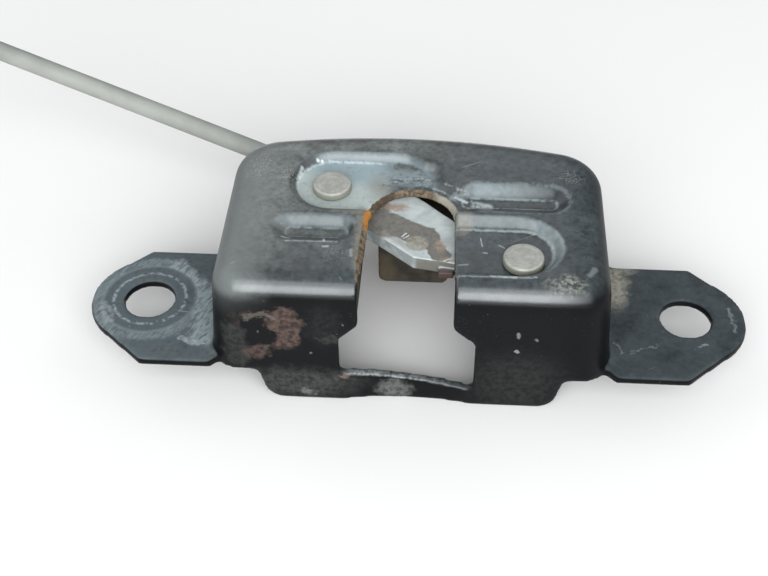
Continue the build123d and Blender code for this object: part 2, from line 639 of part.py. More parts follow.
# Pawl
def pawl_outline():
    """Pawl in the engaged place, its lock face under the closed claw's end edge."""
    corner = turned(KICK_CORNER, CLAW_PIVOT, CLAW_TURN)
    end = turned(CLAW_END, CLAW_PIVOT, CLAW_TURN)
    edge = Vector(end[0] - corner[0], end[1] - corner[1]).normalized()
    away = Vector(edge.Y, -edge.X)
    base = Vector(corner[0], corner[1]) + away * LOCK_GAP
    nose = base + edge * LOCK_START
    shoulder = base + edge * (LOCK_START + LOCK_LENGTH)
    crest = shoulder + Vector(*NOSE_CREST)
    neck = nose + Vector(*NOSE_NECK)
    hub = PAWL_PIVOT
    left = polar(hub, PAWL_HUB_RADIUS, PAWL_HUB_LEFT)
    right = polar(hub, PAWL_HUB_RADIUS, PAWL_HUB_RIGHT)
    face = make_face([
        Line((nose.X, nose.Y), (shoulder.X, shoulder.Y)),
        Line((shoulder.X, shoulder.Y), (crest.X, crest.Y)),
        Line((crest.X, crest.Y), right),
        ThreePointArc(right, polar(hub, PAWL_HUB_RADIUS, PAWL_HUB_FOOT), left),
        Line(left, (neck.X, neck.Y)),
        Line((neck.X, neck.Y), (nose.X, nose.Y)),
    ])
    for spot, radius in ((crest, PAWL_CREST_ROUND), (neck, PAWL_NECK_ROUND)):
        near = [v for v in face.vertices() if abs(v.X - spot.X) + abs(v.Y - spot.Y) < 0.05]
        face = fillet(near, radius)
    return face


def pawl():
    """Pawl plate at rest, swung clear of the claw's flank."""
    face = pawl_outline() - Pos(*PAWL_PIVOT) * Circle(SHOULDER_RADIUS + RUNNING_CLEARANCE)
    rest = Pos(*PAWL_PIVOT) * Rot(0, 0, -PAWL_ENGAGE_TURN) * Pos(-PAWL_PIVOT[0], -PAWL_PIVOT[1])
    return slab(rest * face, CLAW_BOTTOM, CLAW_BOTTOM + PAWL_THICKNESS)


def pawl_stud():
    """Stud under the pawl that the release lever pushes."""
    return upright(PAWL_STUD_RADIUS, LEVER_BOTTOM - PAWL_STUD_REACH, CLAW_BOTTOM, PAWL_STUD)


# Release lever and rod
def release_lever():
    """Lever on the claw's pin: rear arm to the rod, side arm round the slot to the pawl's stud."""
    hub = CLAW_PIVOT
    half = LEVER_ARM_WIDTH / 2
    rear_y = STOP_Y + BASE_THICKNESS + TAB_CLEARANCE
    eye = ROD_EYE
    heading = Vector(eye[0] - hub[0], eye[1] - hub[1]).normalized()
    side = Vector(-heading.Y, heading.X) * half
    arm = make_face(Polyline(
        (hub[0] + side.X, hub[1] + side.Y), (eye[0] + side.X, eye[1] + side.Y),
        (eye[0] - side.X, eye[1] - side.Y), (hub[0] - side.X, hub[1] - side.Y), close=True))
    push = Vector(*CAM_NORMAL)
    contact = Vector(PAWL_STUD[0], PAWL_STUD[1]) - push * (PAWL_STUD_RADIUS + CAM_GAP)
    slope = Vector(-push.Y, push.X)
    low = contact - slope * CAM_BELOW
    high = contact + slope * CAM_ABOVE
    inner_x = SLOT_RIGHT + SLOT_CLEARANCE
    cross = make_face(Polyline(
        (hub[0], rear_y), (inner_x, rear_y), (inner_x, low.Y - CAM_HEEL),
        (low.X - CAM_HEEL, low.Y - CAM_HEEL), (low.X, low.Y), (high.X, high.Y),
        (high.X, rear_y + LEVER_ARM_WIDTH - CROSS_ARM_TAPER),
        (hub[0], rear_y + LEVER_ARM_WIDTH), close=True))
    face = Pos(*hub) * Circle(LEVER_HUB_RADIUS) + arm + cross
    face += Pos(*eye) * Circle(EYE_RADIUS + LEVER_EYE_WALL)
    face -= Pos(*hub) * Circle(SHANK_RADIUS + RUNNING_CLEARANCE)
    face -= Pos(*eye) * Circle(EYE_RADIUS)
    return slab(face, LEVER_BOTTOM, LEVER_TOP)


def release_rod():
    """Stiff rod, its end turned up through the lever's eye."""
    reach = (cos(radians(ROD_RISE)) * cos(radians(ROD_HEADING)),
             cos(radians(ROD_RISE)) * sin(radians(ROD_HEADING)),
             sin(radians(ROD_RISE)))
    knee = Vector(ROD_EYE[0], ROD_EYE[1], LEVER_BOTTOM - ROD_DROP)
    top = Vector(ROD_EYE[0], ROD_EYE[1], LEVER_TOP + BUSH_FLANGE + ROD_STANDOUT)
    far = knee + Vector(*reach) * ROD_LENGTH
    route = FilletPolyline(top, knee, far, radius=ROD_BEND_RADIUS)
    start = Plane(origin=top, z_dir=(0, 0, -1))
    return sweep(start * Circle(ROD_RADIUS), path=route)


def rod_bush():
    """Plastic bush in the lever's eye, with the snap arm that holds the rod's end."""
    eye = ROD_EYE
    bore = ROD_RADIUS + RUNNING_CLEARANCE
    body = upright(EYE_RADIUS - RUNNING_CLEARANCE, LEVER_BOTTOM - BUSH_FLANGE, LEVER_TOP, eye)
    body += upright(BUSH_FLANGE_RADIUS, LEVER_TOP, LEVER_TOP + BUSH_FLANGE, eye)
    body += upright(EYE_RADIUS + BUSH_SNAP, LEVER_BOTTOM - BUSH_FLANGE, LEVER_BOTTOM, eye)
    return body - upright(bore, LEVER_BOTTOM - BUSH_FLANGE - CUT_MARGIN,
                          LEVER_TOP + BUSH_FLANGE + CUT_MARGIN, eye)


# Springs
def torsion_spring(pivot, start_angle):
    """Close-wound torsion spring round a pin, with a straight leg at each end."""
    height = COIL_TURNS * COIL_PITCH
    low = BASE_BOTTOM - COIL_TOP_GAP - WIRE_RADIUS - height
    coil = Pos(pivot[0], pivot[1], low) * Rot(0, 0, start_angle) * Helix(
        COIL_PITCH, height, COIL_RADIUS)
    first, last = coil @ 0, coil @ 1
    first_dir, last_dir = coil % 0, coil % 1
    leg_in = Line(first - first_dir * SPRING_LEG, first)
    leg_out = Line(last, last + last_dir * SPRING_LEG)
    parts = sweep(Plane(origin=first, z_dir=first_dir) * Circle(WIRE_RADIUS), path=coil)
    parts += sweep(Plane(origin=first - first_dir * SPRING_LEG, z_dir=first_dir)
                   * Circle(WIRE_RADIUS), path=leg_in)
    parts += sweep(Plane(origin=last, z_dir=last_dir) * Circle(WIRE_RADIUS), path=leg_out)
    return parts


def build():
    """Every piece of the latch, by node name."""
    return {
        "housing": housing(),
        "base_plate": base_plate(),
        "claw_pin": claw_pin(),
        "pawl_pin": pawl_pin(),
        "pawl_washer": pawl_washer(),
        "lever_spacer": spacer(CLAW_PIVOT, LEVER_TOP + LEVER_PLAY),
        "pawl_spacer": spacer(PAWL_PIVOT, PAWL_FOOT + CLIP_THICKNESS),
        "retaining_clip": retaining_clip(),
        "claw": claw(),
        "claw_stud": claw_stud(),
        "pawl": pawl(),
        "pawl_stud": pawl_stud(),
        "claw_spring": torsion_spring(CLAW_PIVOT, CLAW_SPRING_START),
        "pawl_spring": torsion_spring(PAWL_PIVOT, PAWL_SPRING_START),
        "release_lever": release_lever(),
        "release_rod": release_rod(),
        "rod_bush": rod_bush(),
    }


os.makedirs("parts", exist_ok=True)
for name, shape in build().items():
    shape.label = name
    export_step(shape, f"parts/{name}.step")
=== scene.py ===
from math import pi, radians

import bmesh
import bpy
from mathutils import Matrix, Vector


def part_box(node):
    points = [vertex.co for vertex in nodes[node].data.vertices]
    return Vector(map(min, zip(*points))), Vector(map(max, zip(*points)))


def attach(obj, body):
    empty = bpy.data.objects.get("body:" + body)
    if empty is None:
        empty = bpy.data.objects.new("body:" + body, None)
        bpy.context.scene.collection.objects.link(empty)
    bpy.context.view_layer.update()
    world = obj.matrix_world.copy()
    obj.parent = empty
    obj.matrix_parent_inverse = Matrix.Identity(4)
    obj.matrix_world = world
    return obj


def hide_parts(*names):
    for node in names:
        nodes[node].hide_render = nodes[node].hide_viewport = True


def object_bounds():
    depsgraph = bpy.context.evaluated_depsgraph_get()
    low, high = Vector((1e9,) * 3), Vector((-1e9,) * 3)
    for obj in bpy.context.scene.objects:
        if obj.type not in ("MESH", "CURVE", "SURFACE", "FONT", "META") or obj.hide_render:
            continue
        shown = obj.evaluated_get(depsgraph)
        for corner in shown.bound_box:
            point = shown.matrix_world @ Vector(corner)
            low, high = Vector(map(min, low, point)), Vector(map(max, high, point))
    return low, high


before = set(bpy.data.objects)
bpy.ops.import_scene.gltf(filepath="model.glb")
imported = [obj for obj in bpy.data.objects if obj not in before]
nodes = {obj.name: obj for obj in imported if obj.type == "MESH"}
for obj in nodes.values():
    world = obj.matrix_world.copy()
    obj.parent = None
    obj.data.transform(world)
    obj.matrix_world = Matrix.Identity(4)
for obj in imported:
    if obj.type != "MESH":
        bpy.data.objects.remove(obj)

# Sizes below are in millimetres and turned into metres where they meet the scene.
MM = 0.001
scene = bpy.context.scene
cad_low, cad_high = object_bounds()

# Where the photograph was taken from
CAMERA_PLACE = (5.043, -152.792, 153.131)
CAMERA_RIGHT = (0.99813, 0.06071, -0.00715)
CAMERA_UP = (-0.03690, 0.69162, 0.72131)
SENSOR_WIDTH = 36.0
FOCAL_LENGTH = 59.02
NEAREST_SEEN = 0.01

# Surroundings and floor card, in metres
BACKDROP = 0.85
SURROUNDINGS_COLOUR = (0.93, 0.97, 1.0)
SURROUNDINGS_STRENGTH = 0.28
FLOOR_HALF_WIDTH = 6.0
CARD_COLOUR = (0.79, 0.757, 0.737)
CARD_ROUGHNESS = 0.8
CARD_SPECULAR = 0.1

# Soft lights: name, direction from the object, width and height in metres, radiance
SOFTBOX_COLOUR = (0.92, 0.97, 1.0)
SOFTBOX_DISTANCE = 1.0
SOFTBOXES = [("front_light", (0.10, -1.0, 0.57), 1.5, 0.56, 6.6),
             ("high_front_light", (0.05, -1.0, 1.45), 1.4, 0.36, 2.6),
             ("back_light", (-0.1, 1.0, 0.95), 1.6, 0.45, 0.40),
             ("right_light", (1.0, 0.35, 0.65), 1.2, 0.7, 0.9),
             ("left_light", (-1.0, 0.35, 0.65), 1.2, 0.7, 0.9)]

# Nearer than this, two points are one
WELD = 0.002

# Edge lengths and smoothing rounds of the pressed, stamped and turned skins
HOUSING_SKIN, HOUSING_ROUNDS = 0.40, 5
PLATE_SKIN, PLATE_ROUNDS = 0.30, 3
CLAW_SKIN, CLAW_ROUNDS = 0.20, 3
PIN_SKIN, PIN_ROUNDS = 0.14, 3
SMOOTHING = 0.5

# Levels read from the frame
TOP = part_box("housing")[1].z / MM
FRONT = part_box("housing")[0].y / MM
CLAW_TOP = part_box("claw")[1].z / MM
FLOOR_LEVEL = cad_low.z / MM

# Pressings of the top face in plan: two end centres and a radius
CLAW_PAD = ((-14.4, 12.4), (-4.2, 12.4), 6.2)
CLAW_PAD_RIM = ((-14.1, 12.3), (-4.5, 12.3), 7.9)
PAWL_PAD = ((6.0, -3.2), (16.8, -3.2), 5.35)
REAR_BEAD = ((8.5, 8.9), (21.9, 8.9), 1.2)
REAR_BEAD_RIM = ((8.5, 8.7), (21.4, 8.7), 3.7)
FRONT_BEAD = ((-20.3, 0.1), (-12.2, 0.1), 1.1)
SLOT_END = (-0.75, 4.8)
SLOT_RADIUS = 6.85

# Slopes of the pressings, and rings round the slot's far end, in the same terms
PAWL_PAD_END = ((6.0, -3.1), (16.6, -3.1), 6.2)
PAWL_PAD_SLOPE = ((6.0, -3.0), (16.4, -3.0), 6.4)
FRONT_BEAD_SLOPE = ((-20.3, 0.0), (-12.5, 0.0), 2.2)
REAR_BEAD_SLOPE = ((8.5, 8.8), (21.5, 8.8), 2.4)
OUTER_RING = ((-0.2, 5.0), (-0.2, 5.0), 10.1)
INNER_RING = ((-0.9, 4.6), (-0.9, 4.6), 8.7)
SHADED_RING = ((-0.4, 5.2), (-0.4, 5.2), 9.7)


# Camera, floor and light
def add_camera():
    """Camera at the photograph's place and angle."""
    data = bpy.data.cameras.new("camera")
    data.sensor_width = SENSOR_WIDTH
    data.lens = FOCAL_LENGTH
    data.clip_start = NEAREST_SEEN
    camera = bpy.data.objects.new("camera", data)
    right = Vector(CAMERA_RIGHT).normalized()
    up = Vector(CAMERA_UP)
    up = (up - right * up.dot(right)).normalized()
    turn = Matrix((right, up, right.cross(up))).transposed().to_4x4()
    camera.matrix_world = Matrix.Translation(Vector(CAMERA_PLACE) * MM) @ turn
    scene.collection.objects.link(camera)
    scene.camera = camera


def add_softbox(name, direction, width, height, radiance):
    """Rectangular soft light that faces the object, with an even glow."""
    data = bpy.data.lights.new(name, "AREA")
    data.shape = "RECTANGLE"
    data.size = width
    data.size_y = height
    data.color = SOFTBOX_COLOUR
    data.energy = radiance * width * height * pi
    lamp = bpy.data.objects.new(name, data)
    aim = Vector(direction).normalized()
    lamp.location = aim * SOFTBOX_DISTANCE
    lamp.rotation_euler = aim.to_track_quat("Z", "Y").to_euler()
    scene.collection.objects.link(lamp)


def add_world():
    """Even surroundings, pale where the camera sees them."""
    world = bpy.data.worlds.new("studio")
    world.use_nodes = True
    tree = world.node_tree
    back = tree.nodes["Background"]
    back.inputs["Color"].default_value = (*SURROUNDINGS_COLOUR, 1)
    path = tree.nodes.new("ShaderNodeLightPath")
    seen = tree.nodes.new("ShaderNodeMapRange")
    seen.inputs["To Min"].default_value = SURROUNDINGS_STRENGTH
    seen.inputs["To Max"].default_value = BACKDROP
    tree.links.new(path.outputs["Is Camera Ray"], seen.inputs["Value"])
    tree.links.new(seen.outputs["Result"], back.inputs["Strength"])
    scene.world = world


def add_floor():
    """Plain pale floor under the object."""
    form = bmesh.new()
    bmesh.ops.create_grid(form, x_segments=1, y_segments=1, size=FLOOR_HALF_WIDTH)
    bmesh.ops.translate(form, verts=form.verts, vec=(0, 0, FLOOR_LEVEL * MM))
    mesh = bpy.data.meshes.new("floor")
    form.to_mesh(mesh)
    form.free()
    floor = bpy.data.objects.new("floor", mesh)
    scene.collection.objects.link(floor)
    paper = bpy.data.materials.new("white_card")
    paper.use_nodes = True
    shader = paper.node_tree.nodes["Principled BSDF"]
    shader.inputs["Base Color"].default_value = (*CARD_COLOUR, 1)
    shader.inputs["Roughness"].default_value = CARD_ROUGHNESS
    shader.inputs["Specular IOR Level"].default_value = CARD_SPECULAR
    mesh.materials.append(paper)


# Finishes, where a noise pattern mostly keeps between these two levels
NOISE_LOW, NOISE_HIGH = 0.3, 0.7


class Finish:
    """One finish's node tree, with places in millimetres in the part's own frame."""

    def __init__(self, name, metallic=0.0):
        self.material = bpy.data.materials.new(name)
        self.material.use_nodes = True
        self.tree = self.material.node_tree
        self.shader = self.tree.nodes["Principled BSDF"]
        self.shader.inputs["Metallic"].default_value = metallic
        coords = self.add("ShaderNodeTexCoord")
        scale = self.add("ShaderNodeMapping")
        scale.inputs["Scale"].default_value = (1 / MM, 1 / MM, 1 / MM)
        self.join(coords.outputs["Object"], scale.inputs["Vector"])
        self.place = scale.outputs["Vector"]
        self.shakes = {}
        geometry = self.add("ShaderNodeNewGeometry")
        self.up = self.vector("DOT_PRODUCT", geometry.outputs["Normal"], (0, 0, 1))
        self.ahead = self.vector("DOT_PRODUCT", geometry.outputs["Normal"], (0, -1, 0))

    def add(self, kind):
        """New node of a kind."""
        return self.tree.nodes.new(kind)

    def join(self, start, end):
        """Link an output to an input."""
        self.tree.links.new(start, end)

    def feed(self, value, socket):
        """Give a socket a number, a colour or another node's output."""
        if isinstance(value, bpy.types.NodeSocket):
            self.join(value, socket)
        elif isinstance(value, tuple) and len(value) == 3 and socket.type == "RGBA":
            socket.default_value = (*value, 1)
        else:
            socket.default_value = value

    def sum(self, kind, first, second=0.0, clamp=False):
        """Arithmetic on two numbers."""
        node = self.add("ShaderNodeMath")
        node.operation = kind
        node.use_clamp = clamp
        self.feed(first, node.inputs[0])
        self.feed(second, node.inputs[1])
        return node.outputs[0]

    def vector(self, kind, first, second=None):
        """Arithmetic on vectors."""
        node = self.add("ShaderNodeVectorMath")
        node.operation = kind
        self.feed(first, node.inputs[0])
        if kind == "SCALE":
            self.feed(second, node.inputs["Scale"])
        elif second is not None:
            self.feed(second, node.inputs[1])
        return node.outputs["Value"] if kind in ("LENGTH", "DOT_PRODUCT") else node.outputs["Vector"]

    def span(self, value, low, high, to_low=0.0, to_high=1.0):
        """Smooth step from one level to another."""
        node = self.add("ShaderNodeMapRange")
        node.interpolation_type = "SMOOTHSTEP"
        self.feed(value, node.inputs["Value"])
        self.feed(low, node.inputs["From Min"])
        self.feed(high, node.inputs["From Max"])
        self.feed(to_low, node.inputs["To Min"])
        self.feed(to_high, node.inputs["To Max"])
        return node.outputs["Result"]

    def mix(self, share, first, second):
        """Colour between two colours."""
        node = self.add("ShaderNodeMix")
        node.data_type = "RGBA"
        self.feed(share, node.inputs["Factor"])
        self.feed(first, node.inputs["A"])
        self.feed(second, node.inputs["B"])
        return node.outputs["Result"]

    def blend(self, pattern, first, second):
        """Colour between two colours, led by a noise pattern."""
        return self.mix(self.span(pattern, NOISE_LOW, NOISE_HIGH), first, second)

    def rough(self, pattern, low, high):
        """Roughness between two values, led by a noise pattern."""
        return self.span(pattern, NOISE_LOW, NOISE_HIGH, low, high)

    def strokes(self, place, marks, plane=(1, 1, 0)):
        """Marks given as share, start, end, width and softness."""
        return self.either(*[self.both(self.stroke(place, start, end, width, soft, plane), share)
                             for share, start, end, width, soft in marks])

    def both(self, *shares):
        """Where all the shares hold."""
        out = shares[0]
        for share in shares[1:]:
            out = self.sum("MULTIPLY", out, share, clamp=True)
        return out

    def either(self, *shares):
        """Where any of the shares holds."""
        out = shares[0]
        for share in shares[1:]:
            out = self.sum("MAXIMUM", out, share)
        return out

    def but(self, share, hole):
        """Where a share holds and another doesn't."""
        return self.both(share, self.sum("SUBTRACT", 1.0, hole, clamp=True))

    def noise(self, grain, detail=4.0, rough=0.55, stretch=(1, 1, 1), turn=0.0, shift=0.0):
        """Cloudy pattern with a grain in millimetres."""
        mapping = self.add("ShaderNodeMapping")
        mapping.vector_type = "TEXTURE"
        mapping.inputs["Rotation"].default_value = (0, 0, radians(turn))
        mapping.inputs["Scale"].default_value = tuple(grain / s for s in stretch)
        mapping.inputs["Location"].default_value = (shift, shift * 1.7, shift * 0.6)
        self.join(self.place, mapping.inputs["Vector"])
        node = self.add("ShaderNodeTexNoise")
        node.inputs["Scale"].default_value = 1.0
        node.inputs["Detail"].default_value = detail
        node.inputs["Roughness"].default_value = rough
        self.join(mapping.outputs["Vector"], node.inputs["Vector"])
        return node.outputs["Fac"]

    def ragged(self, amount, grain):
        """The place, moved about by noise so that a patch gets a ragged edge."""
        if grain not in self.shakes:
            node = self.add("ShaderNodeTexNoise")
            node.inputs["Scale"].default_value = 1 / grain
            node.inputs["Detail"].default_value = 3.0
            node.inputs["Roughness"].default_value = 0.65
            self.join(self.place, node.inputs["Vector"])
            self.shakes[grain] = self.vector("SUBTRACT", node.outputs["Color"], (0.5, 0.5, 0.5))
        return self.vector("ADD", self.place, self.vector("SCALE", self.shakes[grain], 2 * amount))

    def patch(self, place, centre, size, soft=0.35):
        """Ellipsoid of influence: 1 inside, 0 outside."""
        away = self.vector("SUBTRACT", place, centre)
        share = self.vector("DIVIDE", away, size)
        return self.span(self.vector("LENGTH", share), 1 + soft, 1 - soft)

    def axis(self, place, direction, low, high):
        """Smooth step along a direction, between two distances from the origin."""
        return self.span(self.vector("DOT_PRODUCT", place, direction), low, high)

    def reach(self, place, start, end, plane=(1, 1, 0)):
        """Distance from a straight line, measured in plan or in another plane."""
        first = Vector(start).to_3d()
        run = Vector(end).to_3d() - first
        flat = self.vector("MULTIPLY", place, plane)
        away = self.vector("SUBTRACT", flat, tuple(first))
        if run.length < WELD:
            return self.vector("LENGTH", away)
        along = self.vector("DOT_PRODUCT", away, tuple(run.normalized()))
        along = self.sum("MINIMUM", self.sum("MAXIMUM", along, 0.0), run.length)
        foot = self.vector("SCALE", tuple(run.normalized()), along)
        return self.vector("LENGTH", self.vector("SUBTRACT", away, foot))

    def stroke(self, place, start, end, width, soft=0.25, plane=(1, 1, 0)):
        """Line of a width, with soft sides."""
        return self.span(self.reach(place, start, end, plane), width / 2 + soft, width / 2)

    def inside(self, place, shape, grow=0.0, soft=0.3):
        """Area of a long round-ended pressing, grown or shrunk."""
        start, end, radius = shape
        return self.span(self.reach(place, start, end), radius + grow + soft, radius + grow - soft)

    def along(self, place, shape, width, soft=0.25):
        """Band along the outline of a long round-ended pressing."""
        start, end, radius = shape
        off = self.sum("ABSOLUTE", self.sum("SUBTRACT", self.reach(place, start, end), radius))
        return self.span(off, width / 2 + soft, width / 2)

    def bump(self, height, strength, depth):
        """Relief of a height pattern, with a depth in millimetres."""
        node = self.add("ShaderNodeBump")
        node.inputs["Strength"].default_value = strength
        node.inputs["Distance"].default_value = depth * MM
        self.feed(height, node.inputs["Height"])
        self.join(node.outputs["Normal"], self.shader.inputs["Normal"])

    def coat(self, weight, roughness, index):
        """Clear gloss over the finish."""
        self.feed(weight, self.shader.inputs["Coat Weight"])
        self.shader.inputs["Coat Roughness"].default_value = roughness
        self.shader.inputs["Coat IOR"].default_value = index

    def finish(self, colour, roughness):
        """Give the shader its colour and roughness, and hand over the material."""
        self.feed(colour, self.shader.inputs["Base Color"])
        self.feed(roughness, self.shader.inputs["Roughness"])
        return self.material


# Grains of the noise that makes edges ragged
COARSE, CLOSE = 2.0, 0.8

# Black paint and what lies on it
PAINT_SPECULAR = 0.08
BLACK_PAINT = (0.0035, 0.004, 0.0045)
PAINT_DUST = (0.066, 0.078, 0.082)
# Paler dust towards the back and left, partly a painted reflection
PALE_DUST_AND_SHEEN = (0.190, 0.200, 0.192)
EAR_DUST = (0.072, 0.090, 0.100)
EAR_SCUFF = (0.26, 0.30, 0.31)
PALE_PRIMER = (0.38, 0.425, 0.405)
# Blue-grey of rubbed primer, also a painted highlight on the far walls
BLUE_PRIMER_AND_HIGHLIGHT = (0.25, 0.315, 0.335)
WHITE_SCRATCH = (0.60, 0.64, 0.65)
PALE_GREASE = (0.36, 0.335, 0.27)
# Darker cut faces towards the bottom of the slot
DARK_LOW_EDGE = (0.030, 0.027, 0.023)
RUST_BROWN = (0.030, 0.022, 0.020)
RUST_PINK = (0.082, 0.055, 0.046)
RUST_ORANGE = (0.46, 0.19, 0.035)
EDGE_TAN = (0.190, 0.145, 0.100)
EDGE_BROWN = (0.060, 0.042, 0.028)
EDGE_PALE = (0.36, 0.335, 0.28)
PAD_RIM = (0.46, 0.50, 0.505)
BEAD_RIM = (0.34, 0.37, 0.37)
# Far slopes of the pressings: rubbed primer and a painted highlight
RUBBED_SLOPE_AND_HIGHLIGHT = (0.25, 0.29, 0.295)
RING_SCRAPE = (0.40, 0.42, 0.40)
RING_SHADOW = (0.028, 0.036, 0.038)
FLECK = (0.36, 0.36, 0.32)
TAN_FILM = (0.215, 0.190, 0.150)
RUST_TIP = (0.105, 0.092, 0.078)
CORNER_RUST = (0.125, 0.085, 0.062)
WALL_SCUFF = (0.175, 0.178, 0.165)
LEDGE_SCUFF = (0.19, 0.20, 0.195)
WALL_CHIP = (0.30, 0.315, 0.31)
RIGHT_EAR_DUST = (0.052, 0.060, 0.066)
EAR_SCRATCH = (0.33, 0.36, 0.37)
# Pale grey of the left rounding, dust and a painted reflection
SIDE_DUST_AND_SHEEN = (0.15, 0.16, 0.155)
BEIGE_DIRT = (0.30, 0.295, 0.25)
WHITE_SPECK = (0.50, 0.52, 0.52)
FINE_SCRATCH = (0.36, 0.39, 0.40)

# Marks on the top face: share, start and end in plan, width, softness
TOP_MARKS = [(0.6, (9.6, 8.5), (11.6, 8.1), 0.7, 0.8),
             (0.6, (6.2, 10.4), (8.0, 9.2), 0.2, 0.4),
             (1.0, (-14.8, -2.1), (-14.6, -3.7), 0.22, 0.15),
             (0.7, (-17.8, 18.3), (-17.7, 18.3), 0.3, 0.15),
             (0.7, (-17.1, 18.35), (-17.0, 18.35), 0.3, 0.15),
             (0.25, (-15.9, 18.7), (-9.0, 18.7), 0.10, 0.2),
             (0.5, (-20.8, 13.4), (-20.2, 16.0), 0.15, 0.3),
             (0.3, (-20.6, -3.9), (-12.6, -3.7), 0.10, 0.3),
             (0.7, (-21.3, -2.5), (-20.5, -2.6), 0.5, 0.3),
             (0.4, (10.4, 0.4), (10.7, -1.6), 0.06, 0.15),
             (0.3, (13.4, -1.2), (14.2, -1.8), 0.08, 0.2),
             (0.3, (10.9, -3.1), (11.5, -3.2), 0.10, 0.2),
             (0.25, (7.0, -6.2), (8.4, -6.0), 0.10, 0.2),
             (0.3, (6.6, -10.5), (19.0, -10.4), 0.12, 0.3),
             (0.7, (12.2, -10.2), (15.8, -10.3), 0.35, 0.4),
             (0.18, (27.3, -9.4), (28.2, -7.9), 0.25, 0.6),
             (0.4, (-14.6, -5.0), (-13.9, -4.95), 0.15, 0.3),
             (0.25, (-10.1, -5.6), (-10.0, -7.0), 0.15, 0.4)]

# Marks on the ears, in the same order
EAR_MARKS = [(0.8, (-38.6, -9.0), (-35.4, -10.4), 0.7, 0.6),
             (0.5, (-40.8, -2.9), (-37.4, -2.7), 0.12, 0.2),
             (0.5, (-53.4, -2.0), (-51.8, -5.6), 0.8, 0.8),
             (0.6, (47.0, -6.6), (48.6, -6.2), 0.25, 0.3),
             (0.3, (36.0, -8.6), (40.4, -6.4), 0.15, 0.3),
             (0.4, (53.2, 3.0), (54.0, -3.0), 0.12, 0.3),
             (0.4, (33.6, -6.0), (35.0, -8.6), 0.12, 0.2)]

# Broad scuffs of the left ear, in the same order
EAR_SCUFFS = [(0.85, (-36.0, 1.8), (-34.6, -7.6), 3.6, 2.2),
              (0.6, (-38.6, 4.6), (-34.6, -0.8), 0.8, 1.4),
              (1.0, (-42.4, 8.2), (-38.2, 4.2), 1.8, 1.4)]

# Fixing hole of the left ear in plan
LEFT_HOLE = (-45.8, 0.0)

# Rust and chips on the front wall: share, start and end across and up, width, softness
WALL_PLANE = (1, 0, 1)
WALL_RUST = [(1.0, (-20.3, 0, 11.8), (-20.7, 0, 8.2), 4.4, 1.2),
             (0.8, (-26.6, 0, 12.7), (-19.0, 0, 13.6), 0.5, 0.8),
             (0.8, (-25.8, 0, 4.4), (-24.4, 0, 4.9), 1.7, 1.2),
             (0.8, (-23.4, 0, 5.9), (-20.6, 0, 7.2), 1.0, 1.0),
             (0.2, (-28.4, 0, 12.6), (-28.0, 0, 10.0), 0.8, 0.8)]
RUST_HOLE = [(1.0, (-26.4, 0, 9.2), (-23.4, 0, 8.4), 2.6, 0.9)]
RUST_END = [(0.7, (-26.0, 0, 12.5), (-22.6, 0, 12.7), 1.2, 0.5)]
WALL_SMEARS = [(0.12, (-28.8, 0, 9.0), (-28.4, 0, 2.5), 2.0, 1.4),
               (0.12, (-14.5, 0, 8.2), (-12.2, 0, 7.8), 1.0, 0.8)]
WALL_CHIPS = [(0.6, (-16.5, 0, 4.6), (-16.2, 0, 4.8), 0.08, 0.2),
              (0.6, (-11.0, 0, 11.4), (-10.9, 0, 11.3), 0.08, 0.2),
              (0.4, (-24.6, 0, 9.4), (-24.5, 0, 9.2), 0.06, 0.2),
              (0.7, (16.7, 0, 10.9), (16.9, 0, 10.1), 0.15, 0.3),
              (0.9, (16.7, 0, 6.9), (16.8, 0, 6.8), 0.5, 0.2),
              (0.5, (19.6, 0, 9.8), (19.8, 0, 9.4), 0.2, 0.2)]


